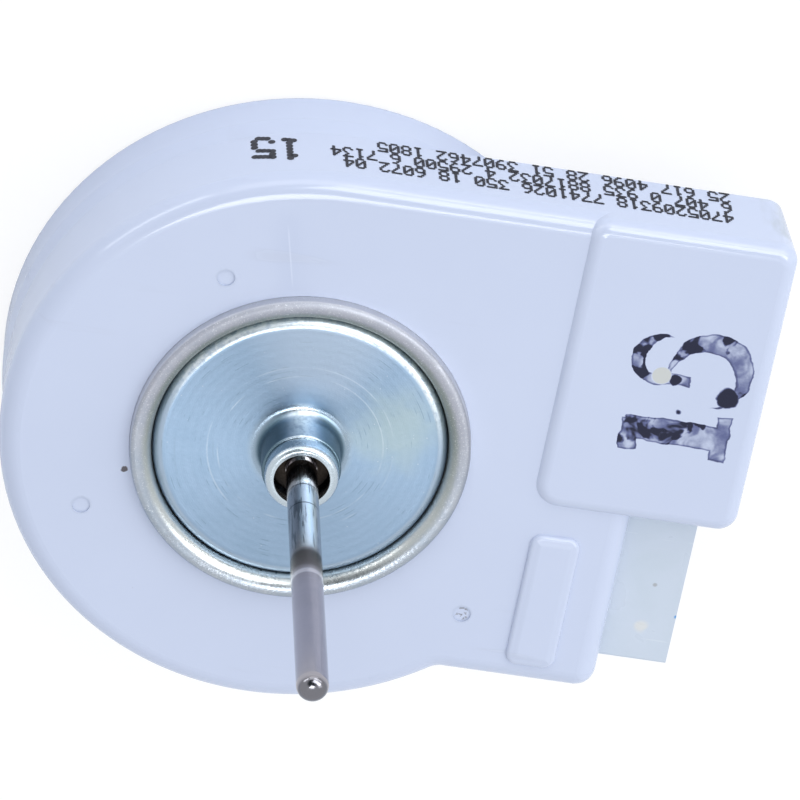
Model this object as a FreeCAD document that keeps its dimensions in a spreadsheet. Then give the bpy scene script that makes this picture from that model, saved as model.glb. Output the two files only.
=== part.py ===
"""Refrigerator fan motor: a moulded drum with a side tail, an inner rotor and a long shaft.

The origin lies on the shaft axis at the flat back of the drum. The shaft points up along Z,
the tail with its connector points along X, and the straight side wall faces along Y.
"""
import FreeCAD, Part
import math
import os
import re

import Sketcher
from FreeCAD import Placement, Rotation, Vector

PARTS_FOLDER = "parts"

# Driving dimensions in millimetres and degrees, each with the place where it is used
SIZES = (
    ("drum_radius", 30.25, "moulded drum, measured at its face"),
    ("drum_wall", 5.15, "drum around the stator room, measured at its face"),
    ("draft_angle", 3.4, "draft of the walls below the face, degrees"),
    ("face_round", 2.1, "rounding of the face edge"),
    ("band_step", 0.4, "rear band of the drum, beyond the front wall"),
    ("band_margin", 0.3, "front wall of the drum under the tail"),
    ("band_draft", 2.0, "draft of the rear band, degrees"),
    ("band_bevel", 2.4, "slope between the rear band and the front wall"),
    ("foot_round", 0.3, "rounding of the back edge"),
    ("shelf_reach", 34.7, "lower part of the tail, from the axis along X"),
    ("shelf_low", 24.0, "lower part of the tail, from the axis against Y"),
    ("shelf_round", 2.0, "upright outer corner of the shelf"),
    ("waist_round", 2.0, "hollow corner between the drum and the shelf"),
    ("block_overhang", 10.4, "raised block beyond the shelf"),
    ("block_length", 21.3, "raised block along X"),
    ("block_low", 2.95, "raised block, lower edge from the axis against Y"),
    ("block_rise", 0.6, "raised block above the face"),
    ("block_round", 1.45, "rounding of the block's upper edge"),
    ("block_corner", 2.0, "upright corners of the block, on the walls"),
    ("block_inner_corner", 2.9, "upright corner of the block on the face"),
    ("panel_width", 5.1, "small raised panel on the shelf, along X"),
    ("panel_edge", 4.7, "small raised panel, from the shelf's end"),
    ("panel_upper_gap", 3.2, "small raised panel, from the block"),
    ("panel_lower_gap", 2.5, "small raised panel, from the shelf's lower wall"),
    ("panel_rise", 0.5, "small raised panel above the face"),
    ("panel_root", 1.0, "how deep the panel's form runs into the face"),
    ("panel_round", 0.47, "rounding of the panel's upper edge"),
    ("panel_corner", 1.2, "upright corners of the panel"),
    ("ejector_radius", 0.9, "marks left by the mould's ejector pins"),
    ("ejector_depth", 0.15, "marks left by the mould's ejector pins"),
    ("back_mark_radius", 2.0, "ejector marks on the back"),
    ("back_mark_edge", 9.2, "ejector marks on the back, from the drum's edge"),
    ("chamber_floor", 1.6, "back wall of the drum"),
    ("front_wall", 3.6, "front wall of the drum over the stator room"),
    ("ledge_width", 1.6, "ledge under the bracket's rim"),
    ("ledge_depth", 2.4, "ledge that carries the bracket and the ring, below the face"),
    ("pocket_floor", 0.9, "wall behind the rear bearing pocket"),
    ("pocket_wall", 2.5, "wall around the rear bearing pocket"),
    ("pocket_margin", 0.2, "pocket wall above the rear bearing"),
    ("tail_wall", 2.1, "side walls of the tail's chamber"),
    ("tail_floor", 1.7, "wall under the tail's chamber"),
    ("tail_roof", 2.0, "wall over the tail's chamber"),
    ("tail_room_overlap", 5.6, "tail's chamber reaching into the stator room"),
    ("ring_width", 2.22, "bead ring, across its bead"),
    ("ring_gap", 0.08, "bead ring around the bracket, on the radius"),
    ("ring_lip", 1.2, "bead of the ring beyond its lower skirt"),
    ("ring_depth", 1.1, "shoulder of the bead ring below the face"),
    ("ring_rise", 1.35, "bead ring above the face"),
    ("ring_outer_round", 0.55, "outer edge of the bead"),
    ("ring_inner_round", 1.5, "roll of the bead into the gap"),
    ("plate_radius", 14.83, "bearing bracket, outside"),
    ("plate_rise", 0.6, "bearing bracket above the housing face"),
    ("plate_thickness", 0.8, "sheet of the bearing bracket"),
    ("plate_round", 1.0, "rolled outer edge of the bracket"),
    ("boss_radius", 3.98, "drawn boss of the bracket"),
    ("boss_root_round", 0.95, "flare at the foot of the boss"),
    ("boss_shoulder", 4.9, "shoulder of the boss above the housing face"),
    ("boss_shoulder_round", 0.22, "rounding of that shoulder"),
    ("boss_neck", 3.72, "narrower end of the boss"),
    ("boss_bore", 3.2, "seat of the front bearing"),
    ("mouth_radius", 2.83, "open mouth of the boss"),
    ("mouth_rise", 6.85, "mouth above the housing face"),
    ("mouth_lip", 0.7, "height of the lip at the mouth"),
    ("mouth_round", 0.65, "rolled rim at the mouth"),
    ("shaft_radius", 1.585, "steel shaft"),
    ("shaft_rise", 47.1, "tip of the shaft above the housing face"),
    ("shaft_tip_round", 1.3, "rounded end of the shaft"),
    ("shaft_rear_round", 0.9, "rounded rear end of the shaft"),
    ("oil_groove_gap", 0.6, "groove that stops oil on the shaft, above the front bearing"),
    ("oil_groove_width", 0.8, "groove that stops oil on the shaft"),
    ("oil_groove_depth", 0.25, "groove that stops oil on the shaft"),
    ("end_play", 0.3, "running gap at each end of the rotor"),
    ("bearing_running_gap", 0.03, "shaft in its bearings, on the radius"),
    ("seat_gap", 0.03, "pieces held in a seat, on the radius"),
    ("front_felt_height", 0.9, "felt ring under the front bearing"),
    ("front_bearing_length", 3.4, "front sleeve bearing"),
    ("bearing_chamfer", 0.3, "edges of the sleeve bearings"),
    ("rear_bearing_radius", 3.4, "rear sleeve bearing and its pocket"),
    ("rear_felt_height", 0.8, "felt ring under the rear bearing"),
    ("rear_bearing_length", 3.1, "rear sleeve bearing"),
    ("felt_gap", 0.35, "felt rings clear of the turning shaft"),
    ("thrust_pad_height", 0.6, "hard disc under the shaft"),
    ("retainer_width", 2.4, "spring washer beyond the front bearing's seat"),
    ("retainer_thickness", 0.4, "spring washer under the front felt"),
    ("retainer_gap", 0.5, "spring washer clear of the shaft"),
    ("core_gap", 0.1, "laminations in the drum, on the radius"),
    ("core_stack", 5.0, "stator laminations, height"),
    ("yoke_width", 3.0, "outer ring of the laminations"),
    ("air_gap", 0.5, "between magnet and laminations"),
    ("pole_shoe", 1.3, "thickness of the pole shoes"),
    ("tooth_width", 4.5, "stator teeth"),
    ("slot_count", 6, "stator teeth and coils"),
    ("slot_opening", 2.0, "gap between two pole shoes"),
    ("rear_bobbin", 3.0, "rear insulator, height"),
    ("front_bobbin", 2.8, "front insulator, height"),
    ("bobbin_plate", 0.8, "insulators on the laminations"),
    ("bobbin_edge", 0.6, "insulators inside the laminations' edge"),
    ("bobbin_side", 0.7, "insulator over a tooth, on each side"),
    ("bobbin_setback", 0.3, "inner flange of the insulators behind the pole shoes"),
    ("bobbin_flange", 0.7, "flanges of the insulators"),
    ("bobbin_flange_width", 8.4, "inner flange of the insulators"),
    ("coil_gap", 0.1, "windings clear of the insulators"),
    ("coil_build", 2.5, "windings beside a tooth"),
    ("coil_overhang", 1.5, "windings over a tooth"),
    ("coil_round", 1.3, "outer corners of the windings"),
    ("board_thickness", 1.2, "circuit board"),
    ("board_headroom", 1.3, "circuit board under the front wall"),
    ("board_edge", 0.5, "round part of the board inside the drum"),
    ("board_bore_gap", 2.3, "opening of the board around the magnet"),
    ("board_gap", 0.4, "board clear of the tail's walls"),
    ("winding_pin_edge", 1.5, "pins from the windings, inside the laminations' edge"),
    ("winding_pin_radius", 0.4, "pins from the windings to the board"),
    ("winding_pin_angle", 18, "angle between two of those pins"),
    ("winding_pin_proud", 0.9, "pins above the board"),
    ("hub_radius", 9.17, "rotor core"),
    ("hub_inset", 0.2, "rotor core inside the magnet's ends"),
    ("hub_clearance", 1.07, "rotor core around the rear pocket"),
    ("magnet_thickness", 2.8, "ring magnet"),
    ("magnet_rear_overhang", 0.6, "ring magnet beyond the laminations"),
    ("magnet_front_overhang", 2.4, "ring magnet beyond the laminations"),
    ("magnet_chamfer", 0.4, "edges of the ring magnet"),
    ("rear_washer", 0.7, "washer between rear bearing and rotor core"),
    ("spacer_wall", 1.3, "washer and sleeve around the shaft"),
    ("shell_out", 7.05, "connector beyond the shelf"),
    ("shell_in", 3.7, "connector inside the shelf's end"),
    ("shell_upper_gap", 0.4, "connector beside the block"),
    ("shell_lower_gap", 3.1, "connector, from the shelf's lower wall"),
    ("shell_under", 1.8, "tail under the connector"),
    ("shell_height", 6.0, "connector"),
    ("shell_drop", 3.0, "connector below the face"),
    ("shell_wall", 0.9, "connector, walls"),
    ("shell_back", 1.8, "connector, wall behind the socket"),
    ("shell_round", 0.3, "connector, outer edges"),
    ("shell_key_width", 2.4, "keyway in the connector's underside"),
    ("contact_count", 4, "contact pins"),
    ("contact_pitch", 3.96, "contact pins"),
    ("contact_width", 0.8, "contact pins, square"),
    ("contact_inset", 2.0, "tips of the contacts behind the mouth"),
    ("contact_foot", 2.0, "soldered foot of a contact on the board"),
    ("contact_bend", 0.15, "bend of a contact, behind the connector"),
    ("chip_edge", 7.0, "driver chip, centre from the board's outer edge"),
    ("chip_up", 13.0, "driver chip, centre from the axis along Y"),
    ("chip_length", 9.9, "driver chip"),
    ("chip_width", 3.9, "driver chip"),
    ("chip_height", 1.5, "driver chip"),
    ("lead_count", 8, "leads on one side of the driver chip"),
    ("lead_pitch", 1.27, "leads of the driver chip"),
    ("lead_width", 0.45, "leads of the driver chip"),
    ("lead_reach", 1.05, "leads of the driver chip, beyond its side"),
    ("lead_thickness", 0.25, "leads of the driver chip"),
    ("sensor_inset", 1.3, "rotor position sensor, from the board's opening"),
    ("sensor_size", 2.2, "rotor position sensor"),
    ("sensor_height", 1.0, "rotor position sensor"),
    ("capacitor_edge", 4.2, "filter capacitor, centre from the board's upper edge"),
    ("capacitor_left", 14.0, "filter capacitor, centre from the block's end"),
    ("capacitor_length", 6.0, "filter capacitor"),
    ("capacitor_width", 3.2, "filter capacitor"),
    ("capacitor_height", 2.5, "filter capacitor"),
    ("resistor_left", 6.0, "chip resistors, centre from the connector's back"),
    ("resistor_pitch", 3.0, "chip resistors"),
    ("resistor_count", 3, "chip resistors"),
    ("resistor_length", 3.2, "chip resistors"),
    ("resistor_width", 1.6, "chip resistors"),
    ("resistor_height", 0.6, "chip resistors"),
)

# Heights, from the back of the drum upwards
CORE_LOW = "(chamber_floor + rear_bobbin)"
CORE_HIGH = f"({CORE_LOW} + core_stack)"
BOARD_LOW = f"({CORE_HIGH} + front_bobbin)"
BOARD_TOP = f"({BOARD_LOW} + board_thickness)"
CHAMBER_TOP = f"({BOARD_TOP} + board_headroom)"
FACE = f"({CHAMBER_TOP} + front_wall)"
TAIL_THICKNESS = "(shell_drop + shell_height + shell_under)"
TAIL_BACK = f"({FACE} - {TAIL_THICKNESS})"
BAND_TOP = f"({TAIL_BACK} - band_margin - band_bevel)"
LEDGE = f"({FACE} - ledge_depth)"
PLATE_UNDER = f"({FACE} + plate_rise - plate_thickness)"
RETAINER_UNDER = f"({PLATE_UNDER} - retainer_thickness)"
FRONT_BEARING_LOW = f"({PLATE_UNDER} + front_felt_height)"
PAD_TOP = "(pocket_floor + thrust_pad_height)"
REAR_BEARING_LOW = f"({PAD_TOP} + rear_felt_height)"
REAR_BEARING_HIGH = f"({REAR_BEARING_LOW} + rear_bearing_length)"
HUB_ROOF = f"({REAR_BEARING_HIGH} + end_play + rear_washer)"
MAGNET_LOW = f"({CORE_LOW} - magnet_rear_overhang)"
MAGNET_HIGH = f"({CORE_HIGH} + magnet_front_overhang)"
HUB_LOW = f"({MAGNET_LOW} + hub_inset)"
HUB_HIGH = f"({MAGNET_HIGH} - hub_inset)"
SHELL_HIGH = f"({FACE} - shell_drop)"
SHELL_LOW = f"({SHELL_HIGH} - shell_height)"
CONTACT_LEVEL = f"({SHELL_HIGH} - shell_height / 2)"

# Radii, from the shaft outwards and from the drum inwards
POCKET_RADIUS = "(rear_bearing_radius + seat_gap)"
HUB_RECESS = f"({POCKET_RADIUS} + pocket_wall + hub_clearance)"
SPACER_RADIUS = "(shaft_radius + spacer_wall)"
MAGNET_BORE = "(hub_radius + seat_gap)"
MAGNET_RADIUS = f"({MAGNET_BORE} + magnet_thickness)"
STATOR_BORE = f"({MAGNET_RADIUS} + air_gap)"
SHOE_RADIUS = f"({STATOR_BORE} + pole_shoe)"
BOARD_BORE = f"({MAGNET_RADIUS} + board_bore_gap)"
RING_INNER = "(plate_radius + ring_gap)"
RING_RADIUS = f"({RING_INNER} + ring_width)"
RING_FOOT = f"({RING_RADIUS} - ring_lip)"
CHAMBER_RADIUS = "(drum_radius - drum_wall)"
CORE_RADIUS = f"({CHAMBER_RADIUS} - core_gap)"
YOKE_INNER = f"({CORE_RADIUS} - yoke_width)"
BOBBIN_RADIUS = f"({CORE_RADIUS} - bobbin_edge)"

# Places along the tail
BLOCK_REACH = "(shelf_reach + block_overhang)"
BLOCK_START = f"({BLOCK_REACH} - block_length)"
SHELL_REACH = "(shelf_reach + shell_out)"
SHELL_REAR = "(shelf_reach - shell_in)"
SHELL_UPPER = "(-block_low - shell_upper_gap)"
SHELL_LOWER = "(-shelf_low + shell_lower_gap)"
SHELL_MIDDLE = f"(({SHELL_UPPER} + {SHELL_LOWER}) / 2)"
FIRST_CONTACT = f"({SHELL_MIDDLE} - contact_pitch * (contact_count - 1) / 2)"
CONTACT_BEND = f"({SHELL_REAR} - contact_bend - contact_width)"
BOARD_STEP = f"({CONTACT_BEND} - contact_width / 2)"
BOARD_REACH = f"({BLOCK_REACH} - tail_wall - board_gap)"
BOARD_UPPER = "(drum_radius - tail_wall - board_gap)"

# Ejector marks on the face: distance from the drum's edge and angle about the axis, in degrees
FACE_MARKS = ((9.6, 121.1), (7.3, 206.8), (4.45, 319.7))
BACK_MARK_COUNT = 3

doc = FreeCAD.newDocument("FanMotor")
sheet = doc.addObject("Spreadsheet::Sheet", "Sizes")
for row, (alias, number, note) in enumerate(SIZES, start=1):
    sheet.set(f"A{row}", alias)
    sheet.set(f"B{row}", str(number))
    sheet.setAlias(f"B{row}", alias)
    sheet.set(f"C{row}", note)
doc.recompute()

# Sub-parts in the order in which they are made, each under the name of its file
sub_parts = []


def expression(text):
    """Turn a formula of sheet aliases into one that the document understands."""
    return re.sub(r"\b([a-z]+(?:_[a-z0-9]+)+)\b", r"Sizes.\1", text)


def value(text):
    """Number that a formula of sheet aliases gives now."""
    return float(sheet.evalExpression(expression(text)))


def bind(item, **formulas):
    """Tie properties to formulas; two underscores in a name stand for a dot."""
    for name, text in formulas.items():
        item.setExpression(name.replace("__", "."), expression(text))


def keep(item, label):
    """Name a finished sub-part and list it for the export."""
    item.Label = label
    sub_parts.append(item)
    return item


# Sketches and features

def new_body(label):
    body = doc.addObject("PartDesign::Body", label)
    body.Label = label
    doc.recompute()
    return body


def origin_item(body, role):
    return next(item for item in body.Origin.OriginFeatures if item.Role == role)


def new_sketch(body, name, plane="XY_Plane", offset="0"):
    sketch = body.newObject("Sketcher::SketchObject", name)
    sketch.AttachmentSupport = [(origin_item(body, plane), "")]
    sketch.MapMode = "FlatFace"
    bind(sketch, AttachmentOffset__Base__z=offset)
    return sketch


def fix_point(sketch, geometry, end, across, up):
    """Hold a point of the sketch at two formulas, measured from the sketch's origin."""
    for kind, text in (("DistanceX", across), ("DistanceY", up)):
        rule = Sketcher.Constraint(kind, -1, 1, geometry, end, value(text))
        index = sketch.addConstraint(rule)
        bind(sketch, **{f"Constraints[{index}]": text})


def draw_outline(sketch, corners):
    """Closed run of straight edges whose corners are pairs of formulas."""
    points = [Vector(value(across), value(up), 0) for across, up in corners]
    first = sketch.GeometryCount
    count = len(points)
    for i in range(count):
        sketch.addGeometry(Part.LineSegment(points[i], points[(i + 1) % count]))
    for i, (across, up) in enumerate(corners):
        following = first + (i + 1) % count
        sketch.addConstraint(Sketcher.Constraint("Coincident", first + i, 2, following, 1))
        fix_point(sketch, first + i, 1, across, up)


def draw_circle(sketch, radius, across="0", up="0"):
    centre = Vector(value(across), value(up), 0)
    circle = sketch.addGeometry(Part.Circle(centre, Vector(0, 0, 1), value(radius)))
    index = sketch.addConstraint(Sketcher.Constraint("Radius", circle, value(radius)))
    bind(sketch, **{f"Constraints[{index}]": radius})
    fix_point(sketch, circle, 3, across, up)


def draw_box(sketch, left, right, low, high):
    draw_outline(sketch, ((left, low), (right, low), (right, high), (left, high)))


def feature(body, kind, name, **settings):
    """Add a feature, give it its settings, and recompute the document."""
    item = body.newObject(kind, name)
    for key, setting in settings.items():
        setattr(item, key, setting)
    doc.recompute()
    return item


def pad(body, sketch, length, down=False):
    item = feature(body, "PartDesign::Pad", "Pad", Profile=sketch, Reversed=down)
    bind(item, Length=length)
    doc.recompute()
    return item


def pocket(body, sketch, depth, up=False):
    """Cut along the sketch's back side, or along its front side when up is set."""
    before = body.Shape.Volume
    item = feature(body, "PartDesign::Pocket", "Pocket", Profile=sketch, Reversed=up)
    bind(item, Length=depth)
    doc.recompute()
    if item.Shape.Volume > before - 1e-6:
        raise RuntimeError(f"{body.Label}: {sketch.Label} cuts nothing")
    return item


def revolve(body, sketch):
    """Turn a profile of radius and height about the upright axis."""
    return feature(body, "PartDesign::Revolution", "Revolution",
                   Profile=sketch, ReferenceAxis=(sketch, ["V_Axis"]), Angle=360.0)


def repeat_around(body, original, count):
    pattern = feature(body, "PartDesign::PolarPattern", "Around", Originals=[original],
                      Axis=(origin_item(body, "Z_Axis"), [""]), Angle=360.0)
    bind(pattern, Occurrences=count)
    body.Tip = pattern
    doc.recompute()
    return pattern


def repeat_along(body, original, role, count, length):
    pattern = feature(body, "PartDesign::LinearPattern", "Along", Originals=[original],
                      Direction=(origin_item(body, role), [""]))
    bind(pattern, Occurrences=count, Length=length)
    body.Tip = pattern
    doc.recompute()
    return pattern


def edges_where(shape, test):
    return [f"Edge{i}" for i, edge in enumerate(shape.Edges, start=1) if test(edge)]


def faces_where(shape, test):
    return [f"Face{i}" for i, face in enumerate(shape.Faces, start=1) if test(face)]


def soften(body, radius, test, kind="PartDesign::Fillet"):
    """Round or bevel the edges of the body's last feature that pass the test."""
    base = body.Tip
    names = edges_where(base.Shape, test)
    if not names:
        raise RuntimeError(f"{body.Label}: no edge to soften")
    item = feature(body, kind, "Soft", Base=(base, names))
    bind(item, **{"Size" if kind.endswith("Chamfer") else "Radius": radius})
    doc.recompute()
    return item


def at_level(level, tolerance=0.01):
    """Test for edges that lie flat at a height."""
    height = value(level)
    return lambda edge: (abs(edge.BoundBox.ZMin - height) < tolerance
                         and abs(edge.BoundBox.ZMax - height) < tolerance)


def circle_at(level, radius, tolerance=0.02):
    """Test for a full or partial circle at a height, about the axis."""
    flat = at_level(level)
    size = value(radius)

    def test(edge):
        centre = getattr(edge.Curve, "Center", None)
        return (flat(edge) and centre is not None
                and math.hypot(centre.x, centre.y) < tolerance
                and abs(edge.Curve.Radius - size) < tolerance)
    return test


def upright_at(across, back, span=1.5):
    """Test for upright edges near a place, leaning or not."""
    place = Vector(value(across), value(back), 0)

    def test(edge):
        box = edge.BoundBox
        middle = Vector(box.Center.x, box.Center.y, 0)
        return box.ZLength > 0.6 * max(box.DiagonalLength, 1e-6) and middle.distanceToPoint(place) < span
    return test


def turned(label, corners, soft=(), listed=True):
    """Body turned from one profile of radius and height, with softened circles."""
    body = new_body(label)
    sketch = new_sketch(body, f"{label}_profile", "XZ_Plane")
    draw_outline(sketch, corners)
    revolve(body, sketch)
    for level, radius, size, kind in soft:
        soften(body, size, circle_at(level, radius), kind)
    return keep(body, label) if listed else body


def ring_profile(inner, outer, low, high):
    return ((inner, low), (outer, low), (outer, high), (inner, high))


FILLET = "PartDesign::Fillet"
CHAMFER = "PartDesign::Chamfer"


# Moulded housing

def draft_walls(body, neutral_level):
    """Lean every side wall inwards below a level, as the mould needs."""
    base = body.Tip
    height = value(neutral_level)
    sides = faces_where(base.Shape, lambda face: face.BoundBox.ZLength > 1.0)
    top = faces_where(base.Shape, lambda face: face.BoundBox.ZMin > height - 0.01)
    item = feature(body, "PartDesign::Draft", "Draft", Base=(base, sides),
                   NeutralPlane=(base, top), Reversed=True)
    bind(item, Angle="draft_angle")
    doc.recompute()
    return item


def draw_face_outline(sketch):
    """Round drum with a straight tangent wall, the shelf's end and its lower wall."""
    radius = value("drum_radius")
    reach = value("shelf_reach")
    low = -value("shelf_low")
    joint = math.sqrt(radius ** 2 - low ** 2)
    start = math.pi / 2
    end = 2 * math.pi + math.atan2(low, joint)
    circle = Part.Circle(Vector(0, 0, 0), Vector(0, 0, 1), radius)
    sketch.addGeometry(Part.LineSegment(Vector(0, radius, 0), Vector(reach, radius, 0)))
    sketch.addGeometry(Part.LineSegment(Vector(reach, radius, 0), Vector(reach, low, 0)))
    sketch.addGeometry(Part.LineSegment(Vector(reach, low, 0), Vector(joint, low, 0)))
    sketch.addGeometry(Part.ArcOfCircle(circle, start, end))
    for rule in (("Coincident", 0, 2, 1, 1), ("Coincident", 1, 2, 2, 1), ("Coincident", 2, 2, 3, 2),
                 ("Coincident", 3, 1, 0, 1), ("Coincident", 3, 3, -1, 1), ("Horizontal", 0),
                 ("Vertical", 1), ("Horizontal", 2), ("PointOnObject", 0, 1, -2)):
        sketch.addConstraint(Sketcher.Constraint(*rule))
    for rule, text in ((("Radius", 3, radius), "drum_radius"),
                       (("DistanceX", -1, 1, 1, 1, reach), "shelf_reach"),
                       (("DistanceY", -1, 1, 2, 1, low), "-shelf_low")):
        index = sketch.addConstraint(Sketcher.Constraint(*rule))
        bind(sketch, **{f"Constraints[{index}]": text})


def cone_radius(level):
    """Formula for the drum's front wall at a height."""
    return f"(drum_radius - ({FACE} - ({level})) * tan(draft_angle))"


def housing_face_form():
    """Drum and shelf in one moulding, with the rounded face edge."""
    body = new_body("housing_face_form")
    sketch = new_sketch(body, "face_outline", offset=FACE)
    draw_face_outline(sketch)
    pad(body, sketch, TAIL_THICKNESS, down=True)
    draft_walls(body, FACE)
    shelf_edge = value(f"shelf_reach - {TAIL_THICKNESS} * tan(draft_angle) / 2")
    shelf_side = value(f"-shelf_low + {TAIL_THICKNESS} * tan(draft_angle) / 2")
    soften(body, "shelf_round", upright_at(str(shelf_edge), str(shelf_side)))
    waist = math.sqrt(value("drum_radius") ** 2 - value("shelf_low") ** 2)
    soften(body, "waist_round", upright_at(str(waist), str(shelf_side), span=2.0))
    soften(body, "face_round", at_level(FACE))

    band_radius = f"({cone_radius(BAND_TOP)} + band_step)"
    bevel_top = f"{BAND_TOP} + band_bevel"
    sketch = new_sketch(body, "drum_profile", "XZ_Plane")
    draw_outline(sketch, (
        ("0", "0"),
        (f"{band_radius} - {BAND_TOP} * tan(band_draft)", "0"),
        (band_radius, BAND_TOP),
        (cone_radius(bevel_top), bevel_top),
        (cone_radius(TAIL_BACK), TAIL_BACK),
        ("0", TAIL_BACK),
    ))
    revolve(body, sketch)
    soften(body, "foot_round", at_level("0"))
    return body


def housing_block_form():
    """Raised block over the outer half of the tail."""
    body = new_body("housing_block_form")
    top = f"{FACE} + block_rise"
    lean = "block_rise * tan(draft_angle)"
    sketch = new_sketch(body, "block_outline", offset=top)
    draw_box(sketch, BLOCK_START, f"{BLOCK_REACH} + {lean}", f"-block_low - {lean}", f"drum_radius + {lean}")
    pad(body, sketch, f"{TAIL_THICKNESS} + block_rise", down=True)
    draft_walls(body, top)
    half = f"({TAIL_THICKNESS} + block_rise) * tan(draft_angle) / 2"
    left = f"{BLOCK_START} + {half}"
    right = f"{BLOCK_REACH} - {half}"
    low = f"-block_low + {half}"
    high = f"drum_radius - {half}"
    soften(body, "block_corner", upright_at(right, low))
    soften(body, "block_corner", upright_at(right, high))
    soften(body, "block_corner", upright_at(left, high))
    soften(body, "block_inner_corner", upright_at(left, low))
    soften(body, "block_round", at_level(top))
    return body


def housing_panel_form():
    """Small raised panel on the shelf."""
    body = new_body("housing_panel_form")
    right = "shelf_reach - panel_edge"
    sketch = new_sketch(body, "panel_outline", offset=f"{FACE} - panel_root")
    draw_box(sketch, f"{right} - panel_width", right,
             "-shelf_low + panel_lower_gap", "-block_low - panel_upper_gap")
    pad(body, sketch, "panel_root + panel_rise")
    soften(body, "panel_corner", lambda edge: edge.BoundBox.ZLength > 1.0)
    soften(body, "panel_round", at_level(f"{FACE} + panel_rise"))
    return body


def housing_room():
    """Space turned out of the drum: rotor room, stator room and the front seat."""
    pocket_top = f"{REAR_BEARING_HIGH} + pocket_margin"
    pocket_outer = f"{POCKET_RADIUS} + pocket_wall"
    ledge_radius = "plate_radius - ledge_width"
    return turned("housing_room", (
        ("0", "pocket_floor"),
        (POCKET_RADIUS, "pocket_floor"),
        (POCKET_RADIUS, pocket_top),
        (pocket_outer, pocket_top),
        (pocket_outer, "chamber_floor"),
        (CHAMBER_RADIUS, "chamber_floor"),
        (CHAMBER_RADIUS, CHAMBER_TOP),
        (ledge_radius, CHAMBER_TOP),
        (ledge_radius, LEDGE),
        (RING_FOOT, LEDGE),
        (RING_FOOT, f"{FACE} - ring_depth"),
        (RING_RADIUS, f"{FACE} - ring_depth"),
        (RING_RADIUS, f"{FACE} + ring_rise"),
        ("0", f"{FACE} + ring_rise"),
    ), listed=False)


def tail_room_corners(gap, end, inner):
    """Outline of the tail's chamber, or of what lies in it with a gap all round."""
    return (
        (inner, f"-shelf_low + tail_wall + {gap}"),
        (end, f"-shelf_low + tail_wall + {gap}"),
        (end, f"-block_low + tail_wall + {gap}"),
        (f"{BLOCK_REACH} - tail_wall - {gap}", f"-block_low + tail_wall + {gap}"),
        (f"{BLOCK_REACH} - tail_wall - {gap}", f"drum_radius - tail_wall - {gap}"),
        (inner, f"drum_radius - tail_wall - {gap}"),
    )


def housing_tail_room():
    """Chamber of the tail, with the slot where the connector leaves it."""
    body = new_body("housing_tail_room")
    sketch = new_sketch(body, "tail_room_outline", offset=f"{TAIL_BACK} + tail_floor")
    draw_outline(sketch, tail_room_corners("0", "shelf_reach - tail_wall",
                                           f"{CHAMBER_RADIUS} - tail_room_overlap"))
    pad(body, sketch, f"{TAIL_THICKNESS} - tail_floor - tail_roof")
    sketch = new_sketch(body, "connector_slot", "YZ_Plane", SHELL_REAR)
    draw_box(sketch, f"{SHELL_LOWER} - seat_gap", f"{SHELL_UPPER} + seat_gap",
             f"{SHELL_LOW} - seat_gap", f"{SHELL_HIGH} + seat_gap")
    pad(body, sketch, "shell_in + shell_out")
    return body


def mark_cutter(label, radius, orbit, angle, level):
    """Short cylinder that presses a mark into a face, at an orbit and angle about the axis."""
    mark = doc.addObject("Part::Cylinder", label)
    bind(mark, Radius=radius, Height="ejector_depth * 2", Placement__Base__x=f"{orbit} * cos({angle})",
         Placement__Base__y=f"{orbit} * sin({angle})", Placement__Base__z=level)
    return mark


def make_housing():
    whole = doc.addObject("Part::MultiFuse", "housing_form")
    whole.Shapes = [housing_face_form(), housing_block_form(), housing_panel_form()]
    doc.recompute()
    cutters = [housing_room(), housing_tail_room()]
    for i, (edge, angle) in enumerate(FACE_MARKS, start=1):
        cutters.append(mark_cutter(f"face_mark_{i}", "ejector_radius", f"(drum_radius - {edge})", angle,
                                   f"{FACE} - ejector_depth"))
    for i in range(BACK_MARK_COUNT):
        angle = 90 + 360 * i / BACK_MARK_COUNT
        cutters.append(mark_cutter(f"back_mark_{i + 1}", "back_mark_radius", "(drum_radius - back_mark_edge)",
                                   angle, "-ejector_depth"))
    removed = doc.addObject("Part::MultiFuse", "housing_removed")
    removed.Shapes = cutters
    housing = doc.addObject("Part::Cut", "housing")
    housing.Base = whole
    housing.Tool = removed
    doc.recompute()
    return keep(housing, "housing")


# Front metalwork

def make_bead_ring():
    crown = f"{FACE} + ring_rise"
    shoulder = f"{FACE} - ring_depth"
    turned("bead_ring", (
        (RING_INNER, LEDGE),
        (f"{RING_FOOT} - seat_gap", LEDGE),
        (f"{RING_FOOT} - seat_gap", shoulder),
        (f"{RING_RADIUS} - seat_gap", shoulder),
        (f"{RING_RADIUS} - seat_gap", crown),
        (RING_INNER, crown),
    ), soft=((crown, f"{RING_RADIUS} - seat_gap", "ring_outer_round", FILLET),
             (crown, RING_INNER, "ring_inner_round", FILLET)))


def make_bearing_bracket():
    top = f"{FACE} + plate_rise"
    mouth = f"{FACE} + mouth_rise"
    shoulder = f"{FACE} + boss_shoulder"
    throat = f"{mouth} - mouth_lip"
    turned("bearing_bracket", (
        ("plate_radius - plate_thickness", LEDGE),
        ("plate_radius", LEDGE),
        ("plate_radius", top),
        ("boss_radius", top),
        ("boss_radius", shoulder),
        ("boss_neck", shoulder),
        ("boss_neck", mouth),
        ("mouth_radius", mouth),
        ("mouth_radius", throat),
        ("boss_bore", throat),
        ("boss_bore", PLATE_UNDER),
        ("plate_radius - plate_thickness", PLATE_UNDER),
    ), soft=((top, "plate_radius", "plate_round", FILLET),
             (top, "boss_radius", "boss_root_round", FILLET),
             (shoulder, "boss_radius", "boss_shoulder_round", FILLET),
             (mouth, "boss_neck", "mouth_round", FILLET)))


# Bearings and their fittings

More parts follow.
